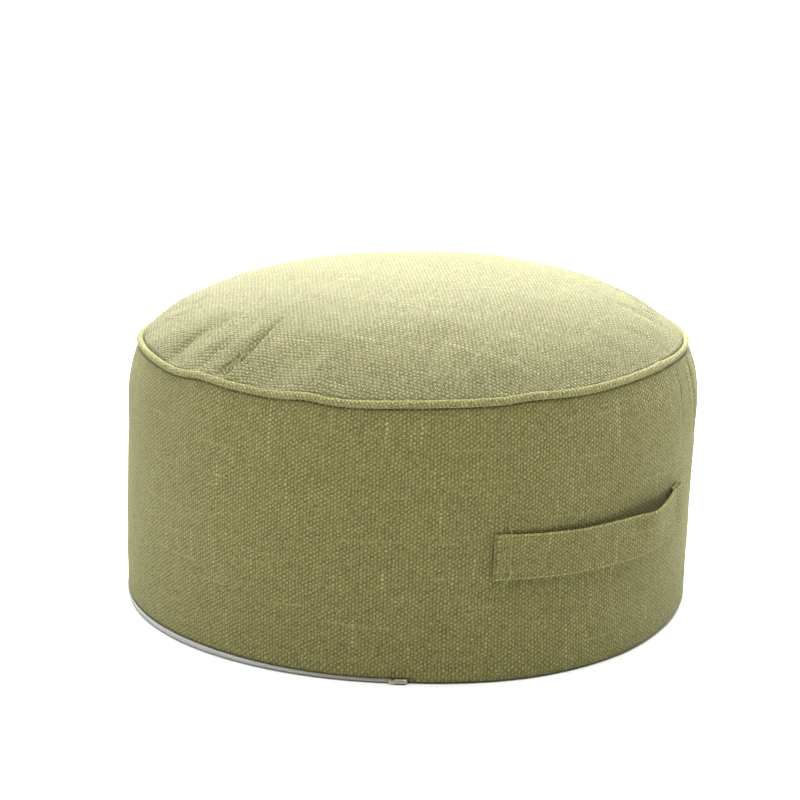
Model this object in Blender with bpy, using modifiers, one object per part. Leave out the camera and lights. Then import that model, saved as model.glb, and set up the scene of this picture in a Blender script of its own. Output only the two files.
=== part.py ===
"""A round floor cushion: crowned top, upright side band, piped top seam, flat carrying handle and base zip.

Metres, +Z up. The floor is Z 0 and the front is towards -Y. An azimuth is measured round the upright axis
from the front, growing towards +X, and every outline below is worked out from the dimensions that follow.
"""

import math
from collections import namedtuple

import bmesh
import bpy
from mathutils import Vector

# The filled cushion
BAND_RADIUS = 0.200  # widest round of the side band
SEAM_RADIUS = 0.194  # centre line of the piping, where the band is drawn in
BAND_HEIGHT = 0.183  # from the floor to the centre line of the piping
SHOULDER = 0.55  # share of the band's height above which it starts to draw in
SHOULDER_POWER = 4.4  # a high power keeps the band full almost up to the seam
SHOULDER_FADE = (0.62, 0.85)  # shares of the band's height between which its shoulder fullness comes in
CROWN_RISE = 0.045  # centre of the top panel above the piping
CROWN_POWER = 3.23  # a high power gives a flat middle and a steep rim
SEAM_REACH_POWER = 6  # a high power keeps the seam's wave close to the rim
SHOULDER_BULGE, SHOULDER_BULGE_POWER = 3.0, 2  # the top panel's extra fullness halfway out
RIM_BULGE, RIM_BULGE_POWER = 12.0, 12  # its extra fullness close to the rim
BULGE_END_POWER = 3
PUCKER_RIM_SHARE = 0.5  # a pucker's depth at the seam, as a share of its deepest place
PUCKER_DEEPEST = (0.25, 0.3)  # shares of its length between which it is deepest
PUCKER_SHARPNESS = 1.6
LEAN = 0.0186  # the filled cushion leans this much towards +X for each metre of height
FOOT_ROUNDING = 0.003  # rounding of the base seam

# The net of the cushion: upright sections, closer together at the puckers
SECTIONS = 120
GATHER_CENTRE = math.radians(-42)
GATHER_SHARE = 0.45
BASE_RINGS = (0.0, 0.62)  # shares of the flat base's radius
BAND_RINGS = (0.10, 0.24, 0.40, 0.54, 0.66, 0.76, 0.84, 0.90, 0.95)  # shares of the band's height
CROWN_RINGS = (0.955, 0.925, 0.89, 0.85, 0.80, 0.74, 0.67, 0.58, 0.46, 0.31, 0.15, 0.0)  # of SEAM_RADIUS

# The piping and the channel that it lies in
PIPING_RADIUS = 0.00225
PIPING_SIDES = 8
KNOT_AZIMUTH = math.radians(57.5)  # where the two ends of the piping are joined
KNOT_SWELL = 0.0007
KNOT_HALF_LENGTH = 0.0035
CHANNEL_TURNS = (math.radians(48), math.radians(90), math.radians(125))  # from straight down, going inwards
LIP_BELOW = 0.0032  # the band stops this far under the piping's centre line
LIP_ABOVE = 0.0040  # the top panel starts this far inside it

# The zip in the base seam, from the front centre round the left to the back
ZIP_START = math.radians(1.4)
ZIP_END = math.radians(-171)
ZIP_FADE = math.radians(1.2)
ZIP_RECESS = 0.0010
ZIP_RECESS_TOP = 0.0052
TAPE_THICKNESS = 0.0012
TAPE_LOW, TAPE_HIGH = 0.0007, 0.0046
TAPE_SPANS = 66
SLIDER_AZIMUTH = math.radians(-0.9)
SLIDER_LENGTH, SLIDER_DEPTH, SLIDER_HEIGHT = 0.0096, 0.0022, 0.0036
SLIDER_ROUNDING, BRIDGE_ROUNDING, PULLER_ROUNDING = 0.0005, 0.0004, 0.0003
BRIDGE_LENGTH, BRIDGE_DEPTH, BRIDGE_HEIGHT = 0.0050, 0.0014, 0.0014
BRIDGE_SINK = 0.0003  # how far the bridge stands in the slider's body
PULLER_LENGTH, PULLER_DEPTH, PULLER_HEIGHT = 0.0110, 0.0009, 0.0030
PULLER_OFFSET = -0.0045  # along the zip from the slider's middle
PULLER_LIFT = 0.0002  # between the slider's body and its pull

# The handle
STRAP_WIDTH = 0.0296
STRAP_THICKNESS = 0.0019  # two layers of cloth
TURNED_UNDER = 0.010  # hem at each end
STRAP_SPANS = 36  # between the two folds
STRAP_CELLS = 4  # across the width
FOLD_SPANS = 4
SLOPE_STEP = 1.0  # degrees to each side over which the strap's slope is measured

CLEARANCE = 0.0003  # between pieces that touch
SHARP_ANGLE = math.radians(40)  # shading breaks at edges sharper than this

SeamPoint = namedtuple("SeamPoint", "azimuth rise inset")
SEAM_WAVE = (  # how the piping strays from a level circle, azimuths in degrees
    SeamPoint(-180, 0.0000, 0.0000),
    SeamPoint(-150, 0.0006, 0.0003),
    SeamPoint(-122, -0.0030, 0.0002),
    SeamPoint(-109, -0.0040, 0.0014),
    SeamPoint(-98, -0.0028, 0.0026),
    SeamPoint(-87, -0.0002, 0.0027),
    SeamPoint(-76, 0.0014, 0.0021),
    SeamPoint(-66, 0.0013, 0.0010),
    SeamPoint(-54, 0.0000, 0.0000),
    SeamPoint(-49, 0.0007, 0.0000),
    SeamPoint(-45.6, 0.0023, 0.0000),
    SeamPoint(-42, 0.0018, 0.0000),
    SeamPoint(-37, 0.0008, 0.0000),
    SeamPoint(-30, -0.0003, 0.0000),
    SeamPoint(-25, -0.0002, 0.0000),
    SeamPoint(-20.5, 0.0010, 0.0000),
    SeamPoint(-18.5, 0.0006, 0.0000),
    SeamPoint(-16.5, -0.0009, 0.0000),
    SeamPoint(-13, -0.0016, 0.0000),
    SeamPoint(-3, -0.0010, 0.0000),
    SeamPoint(8, -0.0003, 0.0000),
    SeamPoint(16, 0.0000, 0.0000),
    SeamPoint(23, 0.0016, 0.0001),
    SeamPoint(31, 0.0010, 0.0001),
    SeamPoint(41, 0.0019, 0.0005),
    SeamPoint(48, 0.0028, 0.0018),
    SeamPoint(57, 0.0036, 0.0025),
    SeamPoint(66, 0.0040, 0.0027),
    SeamPoint(75, 0.0038, 0.0033),
    SeamPoint(84, 0.0022, 0.0041),
    SeamPoint(92, 0.0003, 0.0038),
    SeamPoint(101, -0.0002, 0.0032),
    SeamPoint(112, -0.0003, 0.0020),
    SeamPoint(130, 0.0003, 0.0006),
    SeamPoint(155, -0.0008, 0.0002),
    SeamPoint(180, 0.0000, 0.0000),
)

BandFullness = namedtuple("BandFullness", "azimuth foot middle shoulder")
BAND_FULLNESS = (  # how far the band stands outside its round, azimuths in degrees
    BandFullness(-180, 0.0000, 0.0000, 0.0000),
    BandFullness(-135, -0.0006, 0.0004, 0.0006),
    BandFullness(-95, 0.0006, 0.0000, 0.0004),
    BandFullness(-70, 0.0006, 0.0000, 0.0004),
    BandFullness(-30, -0.0002, 0.0000, 0.0000),
    BandFullness(0, 0.0014, 0.0000, 0.0000),
    BandFullness(22, 0.0062, 0.0006, 0.0000),
    BandFullness(42, 0.0048, 0.0006, 0.0000),
    BandFullness(62, 0.0006, 0.0002, 0.0010),
    BandFullness(88, -0.0006, 0.0000, 0.0018),
    BandFullness(140, -0.0004, 0.0004, 0.0006),
    BandFullness(180, 0.0000, 0.0000, 0.0000),
)

CrownFullness = namedtuple("CrownFullness", "azimuth shoulder rim")
CROWN_FULLNESS = (  # how far the top panel stands above its round, azimuths in degrees
    CrownFullness(-180, 0.0010, 0.0000),
    CrownFullness(-135, 0.0010, 0.0010),
    CrownFullness(-105, 0.0000, 0.0034),
    CrownFullness(-85, 0.0000, 0.0020),
    CrownFullness(-60, 0.0000, 0.0000),
    CrownFullness(0, 0.0000, 0.0000),
    CrownFullness(60, 0.0000, 0.0000),
    CrownFullness(100, 0.0010, 0.0012),
    CrownFullness(140, 0.0020, 0.0010),
    CrownFullness(180, 0.0010, 0.0000),
)

Pucker = namedtuple("Pucker", "rim_azimuth inner_azimuth inner_radius depth half_width")
PUCKERS = (  # folds of the top panel that run in from the rim; a negative depth is a ridge
    Pucker(-41.6, -42.4, 0.126, 0.0056, 0.0050),
    Pucker(-37.6, -39.4, 0.140, -0.0012, 0.0055),
    Pucker(-48.2, -49.6, 0.160, 0.0016, 0.0040),
    Pucker(-56.0, -60.0, 0.156, 0.0030, 0.0090),
    Pucker(-66.0, -70.0, 0.164, -0.0010, 0.0075),
    Pucker(-75.0, -82.0, 0.168, 0.0020, 0.0085),
    Pucker(-28.5, -21.5, 0.140, 0.0022, 0.0100),
    Pucker(-118.0, -112.0, 0.160, 0.0020, 0.0120),
    Pucker(-156.0, -151.0, 0.158, 0.0018, 0.0120),
    Pucker(148.0, 143.0, 0.160, 0.0022, 0.0130),
    Pucker(108.0, 112.0, 0.165, 0.0018, 0.0120),
)

StrapPoint = namedtuple("StrapPoint", "azimuth centre_height low_gap high_gap")
STRAP_ROUTE = (  # middle of the strap's cloth between its two folds, azimuths in degrees
    StrapPoint(15.8, 0.0833, 0.0034, 0.0034),
    StrapPoint(19.4, 0.0830, 0.0034, 0.0034),
    StrapPoint(24.0, 0.0822, 0.0035, 0.0042),
    StrapPoint(28.5, 0.0815, 0.0040, 0.0054),
    StrapPoint(33.0, 0.0812, 0.0049, 0.0068),
    StrapPoint(38.0, 0.0811, 0.0065, 0.0086),
    StrapPoint(42.0, 0.0813, 0.0076, 0.0101),
    StrapPoint(46.0, 0.0818, 0.0083, 0.0117),
    StrapPoint(49.2, 0.0821, 0.0082, 0.0127),
    StrapPoint(50.8, 0.0823, 0.0077, 0.0123),
    StrapPoint(53.0, 0.0829, 0.0067, 0.0101),
    StrapPoint(57.0, 0.0843, 0.0048, 0.0067),
    StrapPoint(60.5, 0.0860, 0.0034, 0.0042),
    StrapPoint(64.4, 0.0885, 0.0034, 0.0034),
)


def along_table(rows, at, column, closed=False):
    """The column's value at a position, on a smooth curve through the rows. Column one is the position."""
    keys = [row[0] for row in rows]
    values = [getattr(row, column) for row in rows]
    last = len(rows) - 1
    at = min(max(at, keys[0]), keys[-1])
    i = max(k for k in range(last) if keys[k] <= at)
    span = keys[i + 1] - keys[i]

    def slope(k):
        if 0 < k < last:
            return (values[k + 1] - values[k - 1]) / (keys[k + 1] - keys[k - 1])
        if closed:
            return (values[1] - values[last - 1]) / (keys[1] - keys[0] + keys[last] - keys[last - 1])
        return 0.0

    t = (at - keys[i]) / span
    start = (1 + 2 * t) * (1 - t) ** 2 * values[i] + t * (1 - t) ** 2 * span * slope(i)
    return start + t * t * (3 - 2 * t) * values[i + 1] - t * t * (1 - t) * span * slope(i + 1)


def smoothstep(low, high, value):
    t = min(max((value - low) / (high - low), 0.0), 1.0)
    return t * t * (3 - 2 * t)


def wrapped(angle):
    """The angle between minus and plus half a turn."""
    return (angle + math.pi) % math.tau - math.pi


def around(angle, rows, column):
    return along_table(rows, math.degrees(wrapped(angle)), column, closed=True)


def gathered(turn):
    """Moves evenly spread sections closer together round the puckers."""
    return wrapped(turn - GATHER_SHARE * math.sin(turn - GATHER_CENTRE))


def placed(azimuth, radius, height):
    """The point at this azimuth, radius and height, with the cushion's lean."""
    return Vector((radius * math.sin(azimuth) + LEAN * height, -radius * math.cos(azimuth), height))


def seam_height(azimuth):
    return BAND_HEIGHT + around(azimuth, SEAM_WAVE, "rise")


def seam_radius(azimuth):
    return SEAM_RADIUS - around(azimuth, SEAM_WAVE, "inset")


def band_radius(azimuth, height):
    """Radius of the side band: upright below the shoulder, drawn in to the seam above it."""
    share = min(max(height / seam_height(azimuth), 0.0), 1.0)
    drawn_in = max((share - SHOULDER) / (1 - SHOULDER), 0.0) ** SHOULDER_POWER
    low = max(1 - 2 * share, 0.0) ** 2
    high = smoothstep(*SHOULDER_FADE, share)
    fullness = (
        low * around(azimuth, BAND_FULLNESS, "foot")
        + (1 - low) * (1 - high) * around(azimuth, BAND_FULLNESS, "middle")
        + high * (1 - drawn_in) * around(azimuth, BAND_FULLNESS, "shoulder")
    )
    return BAND_RADIUS + fullness - (BAND_RADIUS - seam_radius(azimuth)) * drawn_in


def zip_share(azimuth):
    """1 along the zip, 0 elsewhere."""
    front = smoothstep(ZIP_START + ZIP_FADE, ZIP_START, azimuth)
    return front * smoothstep(ZIP_END - ZIP_FADE, ZIP_END, azimuth)


def recessed_radius(azimuth, height):
    return band_radius(azimuth, height) - ZIP_RECESS * zip_share(azimuth)


def pucker_depth(azimuth, radius):
    """How far the top panel sinks here because of its puckers."""
    depth = 0.0
    rising, falling = PUCKER_DEEPEST
    for pucker in PUCKERS:
        inward = (SEAM_RADIUS - radius) / (SEAM_RADIUS - pucker.inner_radius)
        if not 0 <= inward < 1:
            continue
        middle = pucker.rim_azimuth + (pucker.inner_azimuth - pucker.rim_azimuth) * inward
        aside = radius * abs(wrapped(azimuth - math.radians(middle))) / pucker.half_width
        fading = PUCKER_RIM_SHARE + (1 - PUCKER_RIM_SHARE) * smoothstep(0, rising, inward)
        fading *= 1 - smoothstep(falling, 1, inward)
        depth += pucker.depth * fading * math.exp(-(aside**PUCKER_SHARPNESS))
    return depth


def crown_point(azimuth, share):
    """Point of the top panel at this azimuth and share of the way from its middle to the piping."""
    radius = share * seam_radius(azimuth)
    ending = 1 - share**BULGE_END_POWER
    rise = CROWN_RISE * (1 - share**CROWN_POWER)
    rise += (seam_height(azimuth) - BAND_HEIGHT) * share**SEAM_REACH_POWER
    shoulder = around(azimuth, CROWN_FULLNESS, "shoulder")
    rim = around(azimuth, CROWN_FULLNESS, "rim")
    rise += shoulder * SHOULDER_BULGE * share**SHOULDER_BULGE_POWER * ending
    rise += rim * RIM_BULGE * share**RIM_BULGE_POWER * ending
    return placed(azimuth, radius, BAND_HEIGHT + rise - pucker_depth(azimuth, radius))


def flat_foot_radius(azimuth):
    return band_radius(azimuth, 0.0) - FOOT_ROUNDING


def cushion_rings():
    """One function for each ring of the net, from the base's centre over the band to the top's centre."""
    rings = [lambda a, s=share: placed(a, s * flat_foot_radius(a), 0.0) for share in BASE_RINGS]
    rings.append(lambda a: placed(a, flat_foot_radius(a), 0.0))
    bend = FOOT_ROUNDING * (1 - math.sqrt(0.5))
    rings.append(lambda a: placed(a, recessed_radius(a, bend) - bend, bend))
    rings.append(lambda a: placed(a, recessed_radius(a, FOOT_ROUNDING), FOOT_ROUNDING))
    rings.append(lambda a: placed(a, recessed_radius(a, ZIP_RECESS_TOP), ZIP_RECESS_TOP))
    above = ZIP_RECESS_TOP + ZIP_RECESS / 2
    rings.append(lambda a: placed(a, band_radius(a, above), above))
    for share in BAND_RINGS:
        rings.append(lambda a, s=share: placed(a, band_radius(a, s * seam_height(a)), s * seam_height(a)))
    rings.append(lambda a: placed(a, band_radius(a, seam_height(a) - LIP_BELOW), seam_height(a) - LIP_BELOW))
    room = PIPING_RADIUS + 2 * CLEARANCE
    for turn in CHANNEL_TURNS:
        inward, upward = room * math.sin(turn), -room * math.cos(turn)
        rings.append(lambda a, i=inward, u=upward: placed(a, seam_radius(a) - i, seam_height(a) + u))
    rings.append(lambda a: crown_point(a, 1 - LIP_ABOVE / SEAM_RADIUS))
    rings += [lambda a, s=share: crown_point(a, s) for share in CROWN_RINGS]
    return rings


def plain_material(name, colour, roughness, metallic=0.0):
    material = bpy.data.materials.new(name)
    material.use_nodes = True
    shader = material.node_tree.nodes["Principled BSDF"]
    shader.inputs["Base Color"].default_value = (*colour, 1.0)
    shader.inputs["Roughness"].default_value = roughness
    shader.inputs["Metallic"].default_value = metallic
    return material


def finished_object(bm, name, material, collection):
    """Turns the bmesh into an object of its own."""
    mesh = bpy.data.meshes.new(name)
    bm.to_mesh(mesh)
    bm.free()
    mesh.materials.append(material)
    mesh.shade_smooth()
    mesh.set_sharp_from_angle(angle=SHARP_ANGLE)
    made = bpy.data.objects.new(name, mesh)
    collection.objects.link(made)
    return made


def thicken(made, thickness):
    """Gives a sheet its thickness, half of it to each side."""
    solidify = made.modifiers.new("thickness", "SOLIDIFY")
    solidify.thickness = thickness
    solidify.offset = 0.0
    solidify.use_even_offset = True


def spun_net(points, closed, reshape):
    """Spins a section, given as (radius, height) points, once round Z and moves each point to its place."""
    bm = bmesh.new()
    ring = bm.verts.layers.int.new("ring")
    section = [bm.verts.new((radius, 0.0, height)) for radius, height in points]
    for i, vertex in enumerate(section):
        vertex[ring] = i
    ends = list(zip(section, section[1:])) + ([(section[-1], section[0])] if closed else [])
    edges = [bm.edges.new(pair) for pair in ends]
    bmesh.ops.spin(
        bm,
        geom=section + edges,
        cent=(0, 0, 0),
        axis=(0, 0, 1),
        angle=math.tau,
        steps=SECTIONS,
        use_merge=True,
    )
    for vertex in bm.verts:
        turn = math.atan2(vertex.co.y, vertex.co.x)
        vertex.co = reshape(vertex[ring], gathered(turn))
    bmesh.ops.remove_doubles(bm, verts=bm.verts[:], dist=1e-6)
    bmesh.ops.recalc_face_normals(bm, faces=bm.faces[:])
    return bm


def make_cushion_body(material, collection):
    rings = cushion_rings()
    front = [ring(0.0) for ring in rings]
    section = [(-point.y, point.z) for point in front]
    bm = spun_net(section, False, lambda ring, azimuth: rings[ring](azimuth))
    return finished_object(bm, "cushion_body", material, collection)


def make_piping(material, collection):
    turns = [math.tau * i / PIPING_SIDES for i in range(PIPING_SIDES)]

    def piping_point(side, azimuth):
        away = seam_radius(azimuth) * wrapped(azimuth - KNOT_AZIMUTH) / KNOT_HALF_LENGTH
        radius = PIPING_RADIUS
        outward = math.cos(turns[side])
        if outward > 0:  # the joint swells outwards only, away from the channel
            radius += KNOT_SWELL * outward * math.exp(-away * away)
        return placed(
            azimuth,
            seam_radius(azimuth) + radius * outward,
            seam_height(azimuth) + radius * math.sin(turns[side]),
        )

    section = [
        (SEAM_RADIUS + PIPING_RADIUS * math.cos(turn), BAND_HEIGHT + PIPING_RADIUS * math.sin(turn))
        for turn in turns
    ]
    return finished_object(spun_net(section, True, piping_point), "top_piping", material, collection)


def sheet_grid(rows, columns, place):
    """A grid of cells whose corners are put where place(row, column) says."""
    bm = bmesh.new()
    bmesh.ops.create_grid(bm, x_segments=rows, y_segments=columns, size=1.0)
    for vertex in bm.verts:
        row = round((vertex.co.x + 1) / 2 * rows)
        column = round((vertex.co.y + 1) / 2 * columns)
        vertex.co = place(row, column)
    return bm


def strap_slope(azimuth):
    """How steeply the strap's middle line climbs here, as a share of the way along the band."""
    low = min(max(azimuth, STRAP_ROUTE[0].azimuth + SLOPE_STEP), STRAP_ROUTE[-1].azimuth - SLOPE_STEP)
    climb = along_table(STRAP_ROUTE, low + SLOPE_STEP, "centre_height")
    climb -= along_table(STRAP_ROUTE, low - SLOPE_STEP, "centre_height")
    return climb / (2 * math.radians(SLOPE_STEP) * BAND_RADIUS)


def strap_height(azimuth):
    """Height of the strap's middle line; past the ends of the table it carries on at the same slope."""
    inside = min(max(azimuth, STRAP_ROUTE[0].azimuth), STRAP_ROUTE[-1].azimuth)
    past = math.radians(azimuth - inside) * BAND_RADIUS
    return along_table(STRAP_ROUTE, inside, "centre_height") + past * strap_slope(inside)


def strap_stations():
    """(azimuth, low gap, high gap) along the strap, from one tucked end over the top to the other."""
    first, last = STRAP_ROUTE[0], STRAP_ROUTE[-1]
    under = CLEARANCE + STRAP_THICKNESS / 2
    fold_radius = (first.low_gap - under) / 2

    def tucked_end(end, inward):
        """The turned-under hem and its fold, from the hem's raw edge to the fold's top."""
        hem = math.degrees(TURNED_UNDER / BAND_RADIUS)
        found = [(end + inward * hem, under, under)]
        for i in range(FOLD_SPANS):
            turn = math.pi * i / FOLD_SPANS
            out = math.degrees(fold_radius * math.sin(turn) / BAND_RADIUS)
            gap = under + fold_radius * (1 - math.cos(turn))
            found.append((end - inward * out, gap, gap))
        return found

    stations = tucked_end(first.azimuth, 1)
    for i in range(STRAP_SPANS + 1):
        at = first.azimuth + (last.azimuth - first.azimuth) * i / STRAP_SPANS
        low_gap = along_table(STRAP_ROUTE, at, "low_gap")
        high_gap = along_table(STRAP_ROUTE, at, "high_gap")
        stations.append((at, low_gap, high_gap))
    return stations + tucked_end(last.azimuth, -1)[::-1]


def make_handle(material, collection):
    stations = strap_stations()

    def strap_point(row, column):
        azimuth, low_gap, high_gap = stations[row]
        across = column / STRAP_CELLS
        tilt = math.atan(strap_slope(azimuth))
        aside = (across - 0.5) * STRAP_WIDTH
        turned = math.radians(azimuth) - aside * math.sin(tilt) / BAND_RADIUS
        height = strap_height(azimuth) + aside * math.cos(tilt)
        gap = low_gap + (high_gap - low_gap) * across
        return placed(turned, band_radius(turned, height) + gap, height)

    bm = sheet_grid(len(stations) - 1, STRAP_CELLS, strap_point)
    strap = finished_object(bm, "handle_strap", material, collection)
    thicken(strap, STRAP_THICKNESS)
    return strap


def make_zip_tape(material, collection):
    slider_half = (SLIDER_LENGTH / 2 + CLEARANCE) / BAND_RADIUS
    start = SLIDER_AZIMUTH - slider_half
    out = CLEARANCE + TAPE_THICKNESS / 2

    def tape_point(row, column):
        azimuth = start + (ZIP_END - start) * row / TAPE_SPANS
        height = TAPE_HIGH if column else TAPE_LOW
        return placed(azimuth, recessed_radius(azimuth, height) + out, height)

    tape = finished_object(sheet_grid(TAPE_SPANS, 1, tape_point), "zip_tape", material, collection)
    thicken(tape, TAPE_THICKNESS)
    return tape


def rounded_block(name, size, centre, rounding):
    """A box with rounded edges, size and centre along the zip, outwards and up."""
    bm = bmesh.new()
    bmesh.ops.create_cube(bm, size=1.0)
    bmesh.ops.scale(bm, vec=size, verts=bm.verts[:])
    bmesh.ops.bevel(
        bm, geom=bm.edges[:], offset=rounding, segments=2, affect="EDGES", profile=0.5, material=-1
    )
    bmesh.ops.translate(bm, vec=centre, verts=bm.verts[:])
    mesh = bpy.data.meshes.new(name)
    bm.to_mesh(mesh)
    bm.free()
    return bpy.data.objects.new(name, mesh)


def make_zip_slider(material, collection, cutters):
    """The slider's body, its bridge and the pull that lies along the tape, joined into one solid."""
    middle = (TAPE_LOW + TAPE_HIGH) / 2
    wall = recessed_radius(SLIDER_AZIMUTH, middle) + CLEARANCE + CLEARANCE / 3
    bridge_out = SLIDER_DEPTH + BRIDGE_DEPTH / 2 - BRIDGE_SINK
    puller_out = SLIDER_DEPTH + PULLER_DEPTH / 2 + PULLER_LIFT
    body = rounded_block(
        "zip_slider",
        size=(SLIDER_LENGTH, SLIDER_DEPTH, SLIDER_HEIGHT),
        centre=(0, -SLIDER_DEPTH / 2, 0),
        rounding=SLIDER_ROUNDING,
    )
    bridge = rounded_block(
        "slider_bridge",
        size=(BRIDGE_LENGTH, BRIDGE_DEPTH, BRIDGE_HEIGHT),
        centre=(0, -bridge_out, 0),
        rounding=BRIDGE_ROUNDING,
    )
    puller = rounded_block(
        "slider_puller",
        size=(PULLER_LENGTH, PULLER_DEPTH, PULLER_HEIGHT),
        centre=(PULLER_OFFSET, -puller_out, 0),
        rounding=PULLER_ROUNDING,
    )
    collection.objects.link(body)
    body.data.materials.append(material)
    for other in (bridge, puller):
        cutters.objects.link(other)
        other.hide_render = True
        other.display_type = "WIRE"
        joined = body.modifiers.new(f"join {other.name}", "BOOLEAN")
        joined.operation = "UNION"
        joined.solver = "EXACT"
        joined.object = other
    seat = placed(SLIDER_AZIMUTH, wall, middle)
    for piece in (body, bridge, puller):
        piece.location = seat
        piece.rotation_euler = (0, 0, SLIDER_AZIMUTH)
    return body


def centre_on_floor(pieces, helpers):
    """Moves everything sideways so that the middle of the whole cushion's outline stands on the origin."""
    bpy.context.view_layer.update()
    graph = bpy.context.evaluated_depsgraph_get()
    corners = []
    for piece in pieces:
        evaluated = piece.evaluated_get(graph)
        corners += [evaluated.matrix_world @ Vector(corner) for corner in evaluated.bound_box]
    middle_x = (min(c.x for c in corners) + max(c.x for c in corners)) / 2
    middle_y = (min(c.y for c in corners) + max(c.y for c in corners)) / 2
    for piece in pieces + helpers:
        piece.location.x -= middle_x
        piece.location.y -= middle_y
    return middle_x, middle_y


def main():
    for old in list(bpy.data.objects):
        bpy.data.objects.remove(old, do_unlink=True)
    collection = bpy.data.collections.new("floor_cushion")
    cutters = bpy.data.collections.new("floor_cushion_helpers")
    for group in (collection, cutters):
        bpy.context.scene.collection.children.link(group)
    cloth = plain_material("olive_linen", (0.24, 0.23, 0.09), 0.9)
    strap_cloth = plain_material("olive_linen_strap", (0.25, 0.24, 0.10), 0.9)
    piping_cloth = plain_material("olive_linen_piping", (0.30, 0.29, 0.13), 0.9)
    tape_cloth = plain_material("grey_zip_tape", (0.62, 0.62, 0.58), 0.8)
    metal = plain_material("nickel", (0.70, 0.68, 0.64), 0.3, metallic=1.0)
    pieces = [
        make_cushion_body(cloth, collection),
        make_piping(piping_cloth, collection),
        make_handle(strap_cloth, collection),
        make_zip_tape(tape_cloth, collection),
        make_zip_slider(metal, collection, cutters),
    ]
    shift = centre_on_floor(pieces, list(cutters.objects))
    print("moved to the origin by", [round(value, 5) for value in shift])


main()
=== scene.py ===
# %% [markdown]
# # Dressing a round floor cushion
# The cushion is a drum of slubby olive linen: a crowned top, an upright band, piping round the top seam,
# a flat carrying handle and a zip in the base seam. Its solids are already made at their real size, so this
# script loads them as a fixed frame and gives every piece its cloth, its sewing and its light.

# %% Load the frame
import math
from collections import namedtuple

import bmesh
import bpy
import numpy as np
from mathutils import Matrix, Vector, noise
from mathutils.bvhtree import BVHTree
from mathutils.kdtree import KDTree


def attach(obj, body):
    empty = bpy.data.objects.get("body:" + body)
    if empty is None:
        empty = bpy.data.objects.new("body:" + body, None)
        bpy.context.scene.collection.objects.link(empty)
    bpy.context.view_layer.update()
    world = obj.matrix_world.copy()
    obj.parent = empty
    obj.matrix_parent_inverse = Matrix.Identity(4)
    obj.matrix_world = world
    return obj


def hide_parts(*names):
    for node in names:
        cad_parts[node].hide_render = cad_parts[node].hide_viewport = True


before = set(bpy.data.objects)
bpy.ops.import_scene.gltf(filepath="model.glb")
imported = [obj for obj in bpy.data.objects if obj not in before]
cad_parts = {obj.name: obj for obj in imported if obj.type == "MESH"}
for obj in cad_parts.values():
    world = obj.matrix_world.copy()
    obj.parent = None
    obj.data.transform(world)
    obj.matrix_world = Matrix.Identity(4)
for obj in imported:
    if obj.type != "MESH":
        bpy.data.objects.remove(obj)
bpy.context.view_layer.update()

# %% [markdown]
# ## Finding places on the cushion
# A drum is easiest to work on in its own measures: an azimuth round it, a radius and a height. The filled
# cushion stands a little off the middle of its outline and leans slightly to the right, and one function
# holds both facts, so that nothing after it has to think of them.

# %% Places on the cushion
AXIS_FOOT = (-0.0011, 0.0020)  # where the cushion's own axis meets the floor
LEAN = 0.0186  # sideways shift for each metre of height
BAND_RADIUS = 0.200
SEAM_RADIUS = 0.194
BAND_HEIGHT = 0.183
CLOTH_GAP = 0.0003  # left between pieces that touch
RAY_START = 0.1  # how far from the axis a ray that looks for the band starts


def around_axis(azimuth, radius, height):
    """The point at this azimuth (from the front, growing to the right), radius and height."""
    x = AXIS_FOOT[0] + radius * math.sin(azimuth) + LEAN * height
    return Vector((x, AXIS_FOOT[1] - radius * math.cos(azimuth), height))


def outward(azimuth):
    return Vector((math.sin(azimuth), -math.cos(azimuth), 0.0))


def smoothstep(low, high, value):
    t = min(max((value - low) / (high - low), 0.0), 1.0)
    return t * t * (3 - 2 * t)


def wrapped(angle):
    """The same angle, from -pi to pi."""
    return (angle + math.pi) % math.tau - math.pi


def along(rows, at, column):
    """A column of a short table, read on a smooth line between its rows."""
    keys = [row[0] for row in rows]
    values = [getattr(row, column) for row in rows]
    at = min(max(at, keys[0]), keys[-1])
    i = max(k for k in range(len(keys) - 1) if keys[k] <= at)
    slopes = np.gradient(values, keys)
    span = keys[i + 1] - keys[i]
    t = (at - keys[i]) / span
    start = (1 + 2 * t) * (1 - t) ** 2 * values[i] + t * (1 - t) ** 2 * span * slopes[i]
    return start + t * t * (3 - 2 * t) * values[i + 1] - t * t * (1 - t) * span * slopes[i + 1]


print("the front of the band is near", tuple(around_axis(0.0, BAND_RADIUS, BAND_HEIGHT / 2)))

# %% [markdown]
# ## Reading the solids
# A ray shot outwards finds the band, and one shot down finds the top panel. A BVH tree, which sorts the
# faces by where they are, answers such rays fast. A ray for the band starts inside the drum, half way out.

# %% Read the body
def surface_of(mesh):
    return BVHTree.FromPolygons([v.co for v in mesh.vertices], [p.vertices[:] for p in mesh.polygons])


def radius_of(surface, azimuth, height):
    """How far from the axis a ray shot outwards meets this surface."""
    start = around_axis(azimuth, RAY_START, height)
    return RAY_START + (surface.ray_cast(start, outward(azimuth))[0] - start).length


body_solid = surface_of(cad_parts["cushion_body"].data)
print("band radius at the front, half way up", radius_of(body_solid, 0.0, BAND_HEIGHT / 2))

# %% [markdown]
# ## The piping's line
# The seams of the dressed cover follow the piping's middle line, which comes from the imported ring. Its
# corners stand in sections, and the mean of each section is a point of the line. A little smoothing takes
# out the corners of the coarse solid.

# %% Read the piping's line
SEAM_SAMPLES = 720
SECTION_STEP = 0.008  # radians; the corners of one section stand closer than this
LINE_SMOOTHING = 5
DECIMALS = 7  # corners that agree so far are one


def smoothed(values, times):
    """Evens out a closed row of numbers."""
    for _ in range(times):
        values = (np.roll(values, 1) + 2 * values + np.roll(values, -1)) / 4
    return values


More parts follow.
